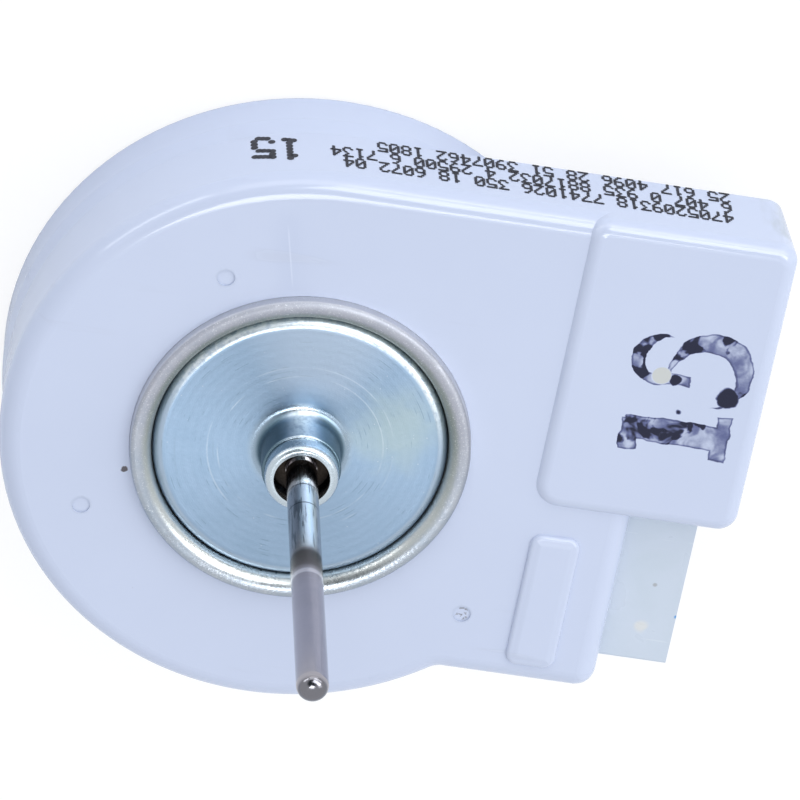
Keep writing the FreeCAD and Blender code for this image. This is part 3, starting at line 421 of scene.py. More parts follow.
@dataclass(frozen=True)
class HousingResin(Finish):
    """Glossy pale moulding resin with the marks of its mould and of handling."""

    shade: Colour = (0.50, 0.56, 0.72)
    rubbed_tone: Colour = (0.44, 0.47, 0.56)
    grit_tone: Colour = (0.30, 0.30, 0.34)
    front: float = FACE_MM
    block_top: float = 19.1
    ink: Colour = (0.010, 0.011, 0.032)
    ink_wash: Colour = (0.10, 0.12, 0.28)
    strokes: tuple[Bar | Crescent, ...] = (
        Bar((31.6, 6.5), (42.0, 9.35)),
        Bar((40.5, 5.3), (42.2, 10.5)),
        Bar((31.2, 5.4), (33.1, 9.0)),
        Crescent((33.6, 16.0, 2.9), (34.6, 16.2, 2.5)),
        Bar((32.4, 13.3), (37.0, 14.5)),
        Crescent((38.9, 15.4, 4.3), (38.3, 14.2, 3.3)),
    )
    pale_spot: Spot = (34.05, 14.2, 1.0)
    spot_tone: Colour = (0.60, 0.61, 0.57)
    clots: tuple[Spot, ...] = ((41.1, 12.7, 1.15), (35.5, 14.0, 0.6), (36.55, 10.36, 0.2))
    drum_radius: float = 30.25
    # Inset from the drum's edge and turn in degrees of each mark
    ejector_marks: tuple[tuple[float, float], ...] = ((9.6, 121.1), (7.3, 206.8), (4.45, 319.7))
    mark_radius: float = 0.95
    mark_tone: Colour = (0.47, 0.53, 0.66)
    dirt_tone: Colour = (0.16, 0.15, 0.15)
    # a darker grey-green patch on the wall by the tail's far corner
    corner_patch: Spot = (45.0, 29.6, 3.2)
    corner_patch_tone: Colour = (0.34, 0.37, 0.36)
    weld_line: tuple[tuple[float, float], tuple[float, float]] = ((-5.71, 24.79), (-3.84, 17.2))
    weld_tone: Colour = (0.74, 0.79, 0.93)
    flake: Spot = (-16.92, -5.54, 0.42)
    flake_tone: Colour = (0.05, 0.03, 0.03)
    panel: Bar = Bar((24.95, -21.45), (30.05, -6.25))
    panel_slope_mm: float = 0.11

    def dress(self, sheet: Sheet) -> Dress:
        """Vary the resin's tone, gloss and skin, then add the stamp.

        Args:
            sheet: The material's node tree.

        Returns:
            Base Color, Roughness, Coat Weight, Metallic and Normal.
        """
        place = sheet.place()
        flow = sheet.noise(place, 22.0, 3.0, warp=0.4)
        cloud = sheet.noise(place, 4.5, 3.0)
        tone = (flow - 0.5) * 0.30 + (cloud - 0.5) * 0.12 + 0.12
        rubbed = self._scuffs(sheet, place)
        colour = sheet.coats(
            self.colour,
            (tone.clamped(), self.shade),
            (rubbed * 0.22, self.rubbed_tone),
            (sheet.flecks(place, 7.0, 0.09) * 0.55, self.grit_tone),
        )
        colour = self._mould_marks(sheet, place, colour)
        density = self._stamp(sheet, place)
        inked = sheet.blend(density.rise(0.30, 0.80), self.ink_wash, self.ink)
        cover = density.rise(0.0, 0.42)
        x, y, radius = self.pale_spot
        spot = (place.radius(x, y) + (cloud - 0.5) * 0.3).rise(radius, radius - 0.12)
        spot = spot * self._on_block(place) * 0.9
        skin = (cloud - 0.5) * 0.004 + (flow - 0.5) * 0.02
        skin = skin + self.panel.depth(place.x, place.y).rise(0.25, 1.15) * self.panel_slope_mm
        dents = sheet.noise(place, 1.1, 2.0) * 0.0016
        gloss = self.roughness + rubbed * 0.22 + (cloud - 0.5) * 0.06 + cover * 0.12
        return {
            "Base Color": sheet.coats(colour, (cover * 0.97, inked), (spot, self.spot_tone)),
            "Roughness": gloss.clamped(),
            "Coat Weight": 0.35 - cover * 0.35,
            "Metallic": density.rise(0.35, 0.85) * 0.85,
            "Normal": sheet.relief(skin + dents),
        }

    def _on_block(self, place: Place) -> Wire:
        """1 on top of the raised block."""
        return place.z.rise(self.block_top - 0.2, self.block_top - 0.05)

    def _scuffs(self, sheet: Sheet, place: Place) -> Wire:
        """Fine rubbed streaks, where the noise of two directions is high."""
        along = sheet.noise(place, 9.0, 4.0, (0.35, 3.2, 1.0))
        patch = sheet.noise(place, 14.0, 1.0)
        return along.rise(0.60, 0.72) * patch.rise(0.52, 0.66)

    def _mould_marks(
        self, sheet: Sheet, place: Place, colour: bpy.types.NodeSocket
    ) -> bpy.types.NodeSocket:
        """Draw the ejector marks, the weld line, the flake and a darker grey-green patch at the tail's
        corner.

        Args:
            sheet: The material's node tree.
            place: Point of the surface.
            colour: Colour so far.

        Returns:
            The colour with the marks.
        """
        on_face = place.z.rise(self.front - 0.45, self.front - 0.15)
        chips = sheet.noise(place, 0.5, 2.0)
        for inset, turn in self.ejector_marks:
            x = (self.drum_radius - inset) * math.cos(math.radians(turn))
            y = (self.drum_radius - inset) * math.sin(math.radians(turn))
            reach = place.radius(x, y) + (chips - 0.5) * 0.35
            rim = reach.rise(self.mark_radius - 0.35, self.mark_radius - 0.1)
            rim = rim * reach.rise(self.mark_radius + 0.2, self.mark_radius)
            colour = sheet.blend(rim * on_face * 0.35, colour, self.mark_tone)
        dirt_in_last_mark = chips.rise(0.55, 0.66) * reach.rise(0.95, 0.6)
        (x0, y0), (x1, y1) = self.weld_line
        length = math.hypot(x1 - x0, y1 - y0)
        ux, uy = (x1 - x0) / length, (y1 - y0) / length
        across = abs((place.x - x0) * uy - (place.y - y0) * ux)
        along = (place.x - x0) * ux + (place.y - y0) * uy
        line = across.rise(0.12, 0.03) * along.rise(0.0, 1.5) * along.rise(length, length - 2.0)
        x, y, radius = self.flake
        spot = (place.radius(x, y) + (chips - 0.5) * 0.5).rise(radius, radius - 0.15)
        x, y, radius = self.corner_patch
        smear = sheet.noise(place, 1.6, 3.0, (1.0, 1.0, 0.5))
        patched = (place.radius(x, y) + (smear - 0.5) * 5.0).rise(radius, 0.4)
        on_wall = place.z.rise(self.front - 2.0, self.front - 3.5)
        return sheet.coats(
            colour,
            (dirt_in_last_mark * on_face * 0.8, self.dirt_tone),
            (line * on_face * 0.5, self.weld_tone),
            (spot * on_face * 0.9, self.flake_tone),
            (patched * on_wall * 0.42, self.corner_patch_tone),
        )

    def _stamp(self, sheet: Sheet, place: Place) -> Wire:
        """Density of the inked digits on the raised block, from 0 to 1.

        Args:
            sheet: The material's node tree.
            place: Point of the surface.

        Returns:
            The density of the ink.
        """
        wobble = sheet.noise(place, 1.6, 3.0) - 0.5
        second = sheet.noise(place, 2.3, 2.0, (1.0, 1.0, 3.0)) - 0.5
        x = place.x + wobble * 0.9
        y = place.y + second * 0.9
        depth = self.strokes[0].depth(x, y)
        for stroke in self.strokes[1:]:
            depth = depth.most(stroke.depth(x, y))
        blot = sheet.noise(place, 3.0, 3.0, warp=0.5)
        fine = sheet.noise(place, 0.45, 2.0)
        edge = depth.rise(0.28, 0.06)
        soft = sheet.noise(place, 2.2, 2.0, warp=0.8).rise(0.32, 0.70) * 0.26
        heavy = blot.rise(0.56, 0.63) * 0.70
        tone = 0.13 + soft + heavy + edge * 0.20 + (fine - 0.5) * 0.16
        density = depth.rise(-0.05, 0.08) * tone
        for x, y, radius in self.clots:
            clot = (place.radius(x, y) + wobble * 0.9).rise(radius + 0.1, radius - 0.25)
            density = density.most(clot * 1.1)
        x, y, radius = self.pale_spot
        density = density * place.radius(x, y).rise(radius - 0.1, radius + 0.12)
        return (density * self._on_block(place)).clamped()


@dataclass(frozen=True)
class ZincPlate(Finish):
    """Bright zinc plating on pressed sheet, turned in faint circles, with painted highlights and shade.
    """

    shade: Colour = (0.23, 0.33, 0.45)
    # painted highlight: a lighter wedge of the plate above the boss, towards +Y
    painted_sheen: Colour = (0.60, 0.68, 0.80)
    # painted highlight on the rolled rim and down the middle of the boss
    bright_rim: Colour = (0.70, 0.77, 0.82)
    # painted shade on the boss's flanks
    wall_dark: Colour = (0.05, 0.10, 0.13)
    rim_radius: float = 14.75
    grit_mm: float = 0.012
    roll_mm: float = 0.10
    warm: Colour = (0.40, 0.46, 0.32)
    warm_centre: tuple[float, float] = (9.0, 4.0)
    circle_pitch: float = 0.9
    circle_share: float = 1.0
    drawn_radius: float = 4.7
    drawn_roughness: float = 0.27
    hoops: tuple[float, ...] = (8.3, 8.75, 9.35, 12.6)
    hoop_width: float = 0.07
    hoop_tones: tuple[Colour, Colour] = ((0.62, 0.70, 0.76), (0.20, 0.28, 0.36))
    fine_pitch: float = 0.21
    score_pitch: float = 0.55
    dark_hoop_tone: Colour = (0.17, 0.25, 0.33)
    fleck_tone: Colour = (0.75, 0.80, 0.84)
    drawn_tone: Colour = (0.36, 0.43, 0.47)
    # painted highlight: the boss's neck and lip lighter; on the pin, a painted reflection
    painted_bright_band: Colour = (0.62, 0.69, 0.73)
    middle_x: float = -0.5
    wall_radii: tuple[float, float] = (3.9, 4.2)
    wall_top: float = 23.0

    def dress(self, sheet: Sheet) -> Dress:
        """Vary the plating's tone and gloss along faint circles.

        Args:
            sheet: The material's node tree.

        Returns:
            Base Color, Roughness and Normal.
        """
        place = sheet.place()
        radius = place.radius()
        cloud = sheet.noise(place, 3.2, 4.0, warp=0.5)
        grain = sheet.noise(place, 0.35, 3.0)
        turned = (radius * (2 * math.pi / self.circle_pitch) + cloud * 2.0).sine()
        fine = (radius * (2 * math.pi / self.fine_pitch)).sine()
        tone = (cloud - 0.5) * 1.1 + (grain - 0.5) * 0.5 + turned * 0.06 * self.circle_share
        x, y = self.warm_centre
        glow = (place.radius(x, y) + (cloud - 0.5) * 6.0).rise(6.5, 1.0)
        coats = [((tone + 0.45).clamped(), self.shade), (glow * 0.30, self.warm)]
        for number, reach in enumerate(self.hoops):
            patchy = sheet.noise(place, 3.0 + number, 2.0).rise(0.42, 0.62)
            hoop = abs(radius - reach).rise(self.hoop_width * 1.6, self.hoop_width * 0.4)
            coats.append((hoop * patchy * 0.24 * self.circle_share, self.hoop_tones[number % 2]))
        arcs = sheet.noise(place, 2.4, 2.0).rise(0.57, 0.65)
        dark_hoops = (radius * (2 * math.pi / self.score_pitch)).sine().rise(0.75, 1.0)
        coats.append((arcs * dark_hoops * 0.6 * self.circle_share, self.dark_hoop_tone))
        coats.append((sheet.flecks(place, 1.1, 0.07) * 0.35, self.fleck_tone))
        drawn = radius.rise(self.drawn_radius + 0.9, self.drawn_radius)
        coats += self._light_and_dark(sheet, place, drawn, cloud)
        gloss = self.roughness + (cloud - 0.5) * 0.16 + (grain - 0.5) * 0.12
        gloss = gloss - drawn * (self.roughness - self.drawn_roughness)
        inside, outside = self.wall_radii
        wall = radius.rise(outside + 0.5, outside) * radius.rise(inside - 0.1, inside)
        wall = wall * place.z.rise(self.wall_top + 0.6, self.wall_top)
        gloss = gloss + wall * 0.22 * self.circle_share
        height = turned * 0.0012 * self.circle_share + fine * 0.0005 + grain * self.grit_mm
        height = height - radius.rise(self.rim_radius - 1.25, self.rim_radius + 0.1) * self.roll_mm
        return {
            "Base Color": sheet.coats(self.colour, *coats),
            "Roughness": gloss.clamped(),
            "Normal": sheet.relief(height),
        }

    def _light_and_dark(
        self, sheet: Sheet, place: Place, drawn: Wire, cloud: Wire
    ) -> list[tuple[Wire, Colour]]:
        """Coats of painted light and shade: a highlight wedge above the boss, a highlight on the rim,
        the boss's own tone, a lighter neck, shaded flanks and a highlight streak down its middle.

        Args:
            sheet: The material's node tree.
            place: Point of the surface.
            drawn: 1 on the drawn boss and 0 on the flat.
            cloud: Broad patches from 0 to 1.

        Returns:
            Share and tint of each coat.
        """
        radius = place.radius()
        turn = (place.y + (cloud - 0.5) * 0.6) / (radius + 0.01)
        # painted highlight wedge above the boss, towards +Y
        wedge = turn.rise(0.78, 1.02) * radius.rise(4.8, 8.0) * self.circle_share
        # painted highlight along the rolled rim, strongest towards +Y
        rim = (radius + (cloud - 0.5) * 0.3).rise(self.rim_radius - 1.05, self.rim_radius - 0.75)
        frayed = sheet.noise(place, 0.5, 3.0).rise(0.36, 0.56)
        rim = rim * (0.22 + place.y.rise(2.0, 9.0) * (0.25 + frayed * 0.5)) * self.circle_share
        aside = abs(place.x - self.middle_x)
        # painted shade on both flanks of the boss, below its neck
        flank = aside.rise(1.0, 2.5) * radius.rise(4.7, 4.15) * radius.rise(3.0, 3.3)
        # above this height the boss's neck and lip get a painted highlight
        low = place.z.rise(self.wall_top + 1.0, self.wall_top + 0.3)
        # painted highlight streak down the middle of the boss
        highlight_streak = aside.rise(1.9, 0.3) * radius.rise(5.4, 4.6) * place.y.rise(1.0, 3.0)
        return [
            (wedge * 0.34, self.painted_sheen),
            (rim, self.bright_rim),
            (drawn * 0.35, self.drawn_tone),
            ((1.0 - low) * drawn * 0.6, self.painted_bright_band),
            (flank * low * 0.8 * self.circle_share, self.wall_dark),
            (highlight_streak * (0.45 + frayed * 0.45) * low * self.circle_share, self.bright_rim),
        ]


@dataclass(frozen=True)
class BeadedZinc(ZincPlate):
    """The ring's plating: painted olive shade on its inner band and lilac-grey outside, painted pale
    light at -Y.
    """

    crest_radius: float = 15.85
    grit_mm: float = 0.022
    roll_mm: float = 0.0
    # painted shade: the ring darker on its +Y side, and a little darker on its -Y side
    plus_y_shade: Colour = (0.345, 0.355, 0.405)
    minus_y_shade: Colour = (0.30, 0.33, 0.37)
    # painted shade and light on the inner band: olive towards +Y, pale towards -Y
    olive: Colour = (0.26, 0.30, 0.27)
    pale: Colour = (0.50, 0.53, 0.52)
    # painted glints: small bright specks over the ring
    painted_glint_tone: Colour = (0.88, 0.90, 0.92)
    # painted highlight along the ring's outer edge, on the +Y side
    painted_edge_highlight: Colour = (0.86, 0.87, 0.90)
    # painted light that lifts the dark gap beside the plate, on the -Y side
    painted_gap_light: Colour = (0.74, 0.77, 0.76)

    def dress(self, sheet: Sheet) -> Dress:
        """Add the ring's bands of painted light and shade to the plating's variation.

        Args:
            sheet: The material's node tree.

        Returns:
            Base Color, Roughness and Normal.
        """
        varied = super().dress(sheet)
        place = sheet.place()
        radius = place.radius()
        mottle = sheet.noise(place, 0.6, 3.0)
        crest = self.crest_radius
        # inner band that gets the painted olive shade or pale light
        inner = (radius + (mottle - 0.5) * 0.5).rise(crest + 0.25, crest - 0.35)
        near = place.y.rise(-12.0, 6.0)
        far = 1.0 - near
        glints = sheet.noise(place, 0.15, 2.0).rise(0.58, 0.74)
        varied["Base Color"] = sheet.coats(
            varied["Base Color"],
            (near * 0.85, self.plus_y_shade),
            (far * 0.5, self.minus_y_shade),
            (inner * (0.55 + mottle * 0.4), sheet.blend(near, self.pale, self.olive)),
            (glints * 0.4, self.painted_glint_tone),
            (radius.rise(crest + 1.12, crest + 1.22) * near * 0.4, self.painted_edge_highlight),
            (radius.rise(crest - 0.35, crest - 0.7) * far * 0.6, self.painted_gap_light),
        )
        varied["Roughness"] = (varied["Roughness"] + near * 0.28 - 0.14).clamped()
        return varied


@dataclass(frozen=True)
class GroundSteel(Finish):
    """A centreless ground pin: bright, with fine hoops and drag marks, and painted reflections: a
    highlight streak, dark lines, a dark band, a bright band and a dark tip.
    """

    bright_top: float = 41.2
    # heights of two painted dark lines round the pin, reflections of round features below it
    dark_hoops: tuple[float, ...] = (28.7, 32.3)
    # height of a painted reflection of the ring's dark inner band, a dark band round the pin
    ring_reflection_height: float = 3.8
    # height of a painted bright band round the pin, the reflection of the ring's bright crest
    bright_band_rise: float = 4.1
    tip_start: float = 64.75
    sideways: tuple[float, float] = (0.98, 0.18)
    worn_tone: Colour = (0.28, 0.27, 0.29)
    # painted highlight streak down the middle of the pin as the camera sees it
    painted_streak_highlight: Colour = (0.86, 0.89, 0.91)
    drag_tone: Colour = (0.10, 0.11, 0.12)
    dark_hoop_tone: Colour = (0.07, 0.07, 0.08)
    painted_ring_reflection: Colour = (0.11, 0.095, 0.09)
    painted_bright_band: Colour = (0.86, 0.83, 0.84)
    # painted reflection: the domed tip darker, as it mirrors the dark surround
    painted_tip_shade: Colour = (0.15, 0.155, 0.18)

    def dress(self, sheet: Sheet) -> Dress:
        """Vary gloss and tone in fine hoops round the pin, and paint its reflections.

        Args:
            sheet: The material's node tree.

        Returns:
            Base Color, Roughness and Normal.
        """
        place = sheet.place()
        top = self.bright_top
        hoops = sheet.noise(place, 0.5, 3.0, (0.15, 0.15, 6.0))
        hairs = sheet.noise(place, 0.35, 2.0, (5.0, 5.0, 0.12))
        worn = sheet.noise(place, 6.0, 3.0)
        tone = (hoops - 0.5) * 0.5 + (hairs - 0.5) * 0.4 + (worn - 0.5) * 0.5 + 0.3
        # painted highlight: a bright streak down the pin's middle, across the view
        across = place.x * self.sideways[0] + place.y * self.sideways[1]
        lower = place.z.rise(top, top - 0.8)
        highlight_streak = abs(across - 0.2).rise(0.95, 0.35)
        drag = sheet.noise(place, 0.55, 2.0, (1.5, 1.5, 0.14)).rise(0.53, 0.62)
        # painted reflections: thin dark lines round the pin
        lines = [abs(place.z - height).rise(0.16, 0.05) * 0.8 for height in self.dark_hoops]
        # painted reflection of the ring's dark inner band
        ring_reflection = place.z.rise(top - 0.3, top + 0.5)
        ring_reflection = ring_reflection * place.z.rise(top + self.ring_reflection_height, top + self.ring_reflection_height - 1.2)
        # painted reflection of the ring's bright crest
        bright_band = abs(place.z - top - self.bright_band_rise).rise(0.5, 0.2)
        # the tip gets the painted dark reflection
        tip = place.z.rise(self.tip_start, self.tip_start + 0.35)
        gloss = self.roughness + (hoops - 0.5) * 0.10 + (worn - 0.5) * 0.08
        return {
            "Base Color": sheet.coats(
                self.colour,
                (tone.clamped(), self.worn_tone),
                (lower * highlight_streak * 0.75, self.painted_streak_highlight),
                (lower * drag * 0.7, self.drag_tone),
                *((line, self.dark_hoop_tone) for line in lines),
                (ring_reflection * (0.6 + worn * 0.4), self.painted_ring_reflection),
                (bright_band * 0.7, self.painted_bright_band),
                (tip * 0.85, self.painted_tip_shade),
            ),
            "Roughness": gloss.clamped(),
            "Normal": sheet.relief(hoops * 0.0006 + hairs * 0.0006),
        }


@dataclass(frozen=True)
class NaturalNylon(Finish):
    """Undyed nylon, milky and a little green, cloudier where it is thick."""

    deep: Colour = (0.53, 0.61, 0.68)
    scratch_tone: Colour = (0.86, 0.90, 0.92)
    dust_tone: Colour = (0.24, 0.26, 0.30)
    # X, Y, radius, tint and share of each mark
    marks: tuple[tuple[float, float, float, Colour, float], ...] = (
        (41.73, -15.24, 0.26, (0.06, 0.30, 0.65), 0.9),
        (38.87, -11.86, 0.32, (0.30, 0.29, 0.28), 0.6),
        (38.45, -16.98, 0.9, (0.80, 0.76, 0.66), 0.5),
    )

    def dress(self, sheet: Sheet) -> Dress:
        """Vary the nylon's milkiness and skin.

        Args:
            sheet: The material's node tree.

        Returns:
            Base Color, Roughness and Normal.
        """
        place = sheet.place()
        milk = sheet.noise(place, 6.0, 3.0, warp=0.5)
        fine = sheet.noise(place, 0.7, 3.0)
        scratch = sheet.noise(place, 3.0, 3.0, (0.3, 4.0, 4.0)).rise(0.66, 0.74)
        waves = sheet.noise(place, 1.3, 2.0, (0.4, 1.0, 1.0)) - 0.5
        coats = [
            ((milk.rise(0.3, 0.75) * 0.55).clamped(), self.deep),
            (scratch * 0.3, self.scratch_tone),
            (sheet.flecks(place, 4.0, 0.08) * 0.6, self.dust_tone),
        ]
        for x, y, radius, tint, share in self.marks:
            near = (place.radius(x, y) + waves * radius).rise(radius, radius * 0.4)
            coats.append((near * share, tint))
        return {
            "Base Color": sheet.coats(self.colour, *coats),
            "Roughness": (self.roughness + (milk - 0.5) * 0.2 + scratch * 0.2).clamped(),
            "Normal": sheet.relief(fine * 0.006 + milk * 0.02),
        }


class Grain(Enum):
    """Way in which a hidden piece's material varies, as axis stretches."""

    SPECKLE = (1.0, 1.0, 1.0)
    SHEETS = (0.02, 0.02, 1.0)
    STRANDS = (1.0, 1.0, 0.12)
    FIBRES = (2.5, 0.5, 1.5)


@dataclass(frozen=True)
class GrainedFinish(Finish):
    """A plain material with its own grain, for the pieces inside."""

    second: Colour = (0.1, 0.1, 0.1)
    grain: Grain = Grain.SPECKLE
    grain_mm: float = 0.5
    height_mm: float = 0.01

    def dress(self, sheet: Sheet) -> Dress:
        """Vary tone, gloss and skin with one grain and one broad cloud.

        Args:
            sheet: The material's node tree.

        Returns:
            Base Color, Roughness and Normal.
        """
        place = sheet.place()
        grain = sheet.noise(place, self.grain_mm, 4.0, self.grain.value)
        cloud = sheet.noise(place, 5.0, 3.0)
        tone = grain.rise(0.35, 0.68) * 0.8 + (cloud - 0.5) * 0.6
        return {
            "Base Color": sheet.blend(tone.clamped(), self.colour, self.second),
            "Roughness": (self.roughness + (grain - 0.5) * 0.2 + (cloud - 0.5) * 0.15).clamped(),
            "Normal": sheet.relief(grain * self.height_mm),
        }


# Sub-assemblies


FinishTable = tuple[tuple[Finish, tuple[str, ...]], ...]


def numbered(name: str, count: int) -> tuple[str, ...]:
    """Names that end in the numbers from 1 to count."""
    return tuple(f"{name}_{number}" for number in range(1, count + 1))


@dataclass
class SubAssembly:
    """A group of CAD nodes, listed beside the finish that they wear."""

    nodes: dict[str, bpy.types.Object]
    finishes: FinishTable = ()

    def dress(self) -> None:
        """Give each node of the group its finish."""
        for finish, names in self.finishes:
            for name in names:
                mesh = self.nodes[name].data
                mesh.materials.clear()
                mesh.materials.append(finish.make())
                LOG.info("%s: %s", name, finish.name)


@dataclass(frozen=True)
class InkedDigits:
    """Rows of dots that an ink jet leaves on a wall, as thin round spots.

    The digits stand upright for somebody who looks at the wall from +Y with
    the shaft pointing up, so each row runs towards -X.

    Args:
        name: Name of the piece.
        rows: Plain digits of each row, first row nearest the front face.
        start_mm: X where the rows start and height of the first row's middle.
        digit_mm: Height of a digit.
        pitch_mm: Distance between rows.
        column_mm: Distance between a digit's columns of dots.
        dot_share: Half width and half height of a dot, as shares of the spacings.
        dot_corners: Corners of a dot's outline.
        lift_mm: Height of the ink above the wall.
        slope: Rise of a row along its run.
        dots: Dots of each digit from 0 to 9, line by line from the top.
        dot_columns: Columns of dots in a digit.
        dot_rows: Lines of dots in a digit.
    """

    name: str
    rows: tuple[str, ...]
    start_mm: tuple[float, float]
    digit_mm: float
    pitch_mm: float
    column_mm: float = 0.2
    dot_share: tuple[float, float] = (0.88, 0.62)
    dot_corners: int = 10
    lift_mm: float = 0.03
    slope: float = 0.0
    dots: tuple[str, ...] = (
        "01110100011001110101110011000101110",
        "00100011000010000100001000010001110",
        "01110100010000100010001000100011111",
        "11111000100010000010000011000101110",
        "00010001100101010010111110001000010",
        "11111100001111000001000011000101110",
        "00110010001000011110100011000101110",
        "11111000010001000100010000100001000",
        "01110100011000101110100011000101110",
        "01110100011000101111000010001001100",
    )
    dot_columns: int = 5
    dot_rows: int = 7

    def _spots(self) -> list[tuple[float, float]]:
        """Places of all dots on the wall.

        Returns:
            X and Z of each dot in millimetres.
        """
        step = self.digit_mm / (self.dot_rows - 1)
        advance = self.column_mm * (self.dot_columns + 1.0)
        inked = [
            (row, place, *divmod(index, self.dot_columns))
            for row, text in enumerate(self.rows)
            for place, letter in enumerate(text)
            if letter.isdigit()
            for index, bit in enumerate(self.dots[int(letter)])
            if bit == "1"
        ]
        spots = []
        for row, place, line, column in inked:
            run = place * advance + column * self.column_mm
            drop = row * self.pitch_mm + (line - (self.dot_rows - 1) / 2) * step
            spots.append((self.start_mm[0] - run, self.start_mm[1] + self.slope * run - drop))
        return spots

    def build(self, wall: bpy.types.Object, finish: Finish, slot: str) -> None:
        """Lay a thin spot of ink on the wall for each dot.

        Args:
            wall: Object whose +Y side carries the ink.
            finish: Finish of the ink.
            slot: Name of a material slot; not used.
        """
        tree = BVHTree.FromObject(wall, bpy.context.evaluated_depsgraph_get())
        shape = bmesh.new()
        half_width = self.column_mm * self.dot_share[0]
        half_height = self.digit_mm / (self.dot_rows - 1) * self.dot_share[1]
        for x, z in self._spots():
            corners = []
            for step in range(self.dot_corners):
                angle = 2 * math.pi * step / self.dot_corners
                at_x = (x + half_width * math.cos(angle)) * MM
                at_z = (z + half_height * math.sin(angle)) * MM
                hit, normal, _, _ = tree.ray_cast(Vector((at_x, 0.1, at_z)), Vector((0, -1, 0)))
                if hit is not None:
                    corners.append(shape.verts.new(hit + normal * (self.lift_mm * MM)))
            if len(corners) == self.dot_corners:
                shape.faces.new(corners)
        mesh = bpy.data.meshes.new(self.name)
        bmesh.ops.recalc_face_normals(shape, faces=shape.faces)
        shape.to_mesh(mesh)
        shape.free()
        piece = bpy.data.objects.new(self.name, mesh)
        bpy.context.scene.collection.objects.link(piece)
        mesh.materials.append(finish.make())
        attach(piece, "motor")
        LOG.info("%s: %d dots", self.name, len(mesh.polygons))


@dataclass
class Housing(SubAssembly):
    """The moulded housing with its printed rows of digits."""

    finishes: FinishTable = (
        (HousingResin(
            "housing_resin", (0.61, 0.668, 0.828), 0.15,
            fixed={"Specular IOR Level": 0.38, "Coat Roughness": 0.05},
        ), ("housing",)),
    )
    ink: Finish = GrainedFinish(
        "print_ink", (0.012, 0.012, 0.022), 0.6, second=(0.035, 0.035, 0.05), height_mm=0.004
    )
    prints: tuple[InkedDigits, ...] = (
        InkedDigits(
            "rating_digits",
            (
                "4705209318 7741026 350 18 6072 04",
                "6 407 0 935 8817032 4 29500 6 7134",
                "25 617 4096 28 51 3907462 1805",
            ),
            (38.4, FACE_MM - 4.85), 1.98, 2.36,
        ),
        InkedDigits("drum_digits", ("15",), (-5.3, FACE_MM - 7.0), 4.3, 4.3, 0.42, slope=-0.3),
    )

    def dress(self) -> None:
        """Dress the housing, then print its walls."""
        super().dress()
        for digits in self.prints:
            digits.build(self.nodes["housing"], self.ink, "print_ink")


@dataclass
class FrontMetalwork(SubAssembly):
    """The plated ring and the bearing bracket in the front opening."""

    finishes: FinishTable = (
        (BeadedZinc("zinc_ring", (0.58, 0.62, 0.68), 0.42, 1.0, circle_share=0.0), ("bead_ring",)),
        (
            ZincPlate("zinc_disc", (0.295, 0.405, 0.55), 0.38, 1.0, {"Anisotropic": 0.45}),
            ("bearing_bracket",),
        ),
    )


WEAR_PLASTIC = GrainedFinish(
    "wear_plastic", (0.12, 0.12, 0.13), 0.45, second=(0.18, 0.18, 0.19), height_mm=0.004
)


@dataclass
class BearingSet(SubAssembly):
    """Sintered bearings, their oiled felts, the retainer and the thrust pad."""

    finishes: FinishTable = (
        (GrainedFinish(
            "sintered_bronze", (0.05, 0.04, 0.035), 0.5, 1.0,
            second=(0.03, 0.025, 0.02), grain_mm=0.2,
        ), ("front_bearing", "rear_bearing")),
        (GrainedFinish(
            "oiled_felt", (0.30, 0.26, 0.18), 0.9, second=(0.16, 0.13, 0.08),
            grain=Grain.FIBRES, grain_mm=0.4, height_mm=0.08,
        ), ("front_felt", "rear_felt")),
        (GrainedFinish(
            "spring_steel", (0.42, 0.42, 0.44), 0.3, 1.0,
            second=(0.30, 0.29, 0.30), height_mm=0.002,
        ), ("bearing_retainer",)),
        (WEAR_PLASTIC, ("thrust_pad",)),
    )


@dataclass
class Stator(SubAssembly):
    """The toothed core between two insulators, with six coils."""

    finishes: FinishTable = (
        (GrainedFinish(
            "lamination", (0.30, 0.31, 0.34), 0.38, 1.0, second=(0.12, 0.12, 0.14),
            grain=Grain.SHEETS, grain_mm=0.5, height_mm=0.03,
        ), ("stator_core",)),
        (GrainedFinish(
            "bobbin_nylon", (0.80, 0.80, 0.74), 0.45, second=(0.70, 0.70, 0.62), height_mm=0.004
        ), ("rear_insulator", "front_insulator")),
        (GrainedFinish(
            "enamelled_copper", (0.60, 0.20, 0.06), 0.28, 0.8, second=(0.32, 0.09, 0.03),
            grain=Grain.STRANDS, grain_mm=0.3, height_mm=0.06,
        ), numbered("coil", 6)),
    )


@dataclass
class ControlBoard(SubAssembly):
    """The circuit board, what is soldered to it, and the winding pins."""

    finishes: FinishTable = (
        (GrainedFinish(
            "board_laminate", (0.05, 0.20, 0.09), 0.35, second=(0.08, 0.28, 0.12), height_mm=0.006
        ), ("circuit_board",)),
        (GrainedFinish(
            "capacitor_case", (0.06, 0.07, 0.16), 0.35, second=(0.10, 0.11, 0.22), height_mm=0.004
        ), ("filter_capacitor",)),
        (GrainedFinish(
            "chip_package", (0.025, 0.025, 0.028), 0.5, second=(0.06, 0.06, 0.06), grain_mm=0.2
        ), ("driver_chip", "position_sensor", *numbered("resistor", 3))),
        (GrainedFinish(
            "tinned_pin", (0.70, 0.70, 0.68), 0.25, 1.0,
            second=(0.50, 0.50, 0.48), height_mm=0.002,
        ), (*numbered("winding_pin", 3), *numbered("contact_pin", 4))),
    )


@dataclass
class TailConnector(SubAssembly):
    """The connector's open shell at the tail."""

    finishes: FinishTable = (
        (NaturalNylon("connector_nylon", (0.605, 0.67, 0.765), 0.30), ("connector_shell",)),
    )


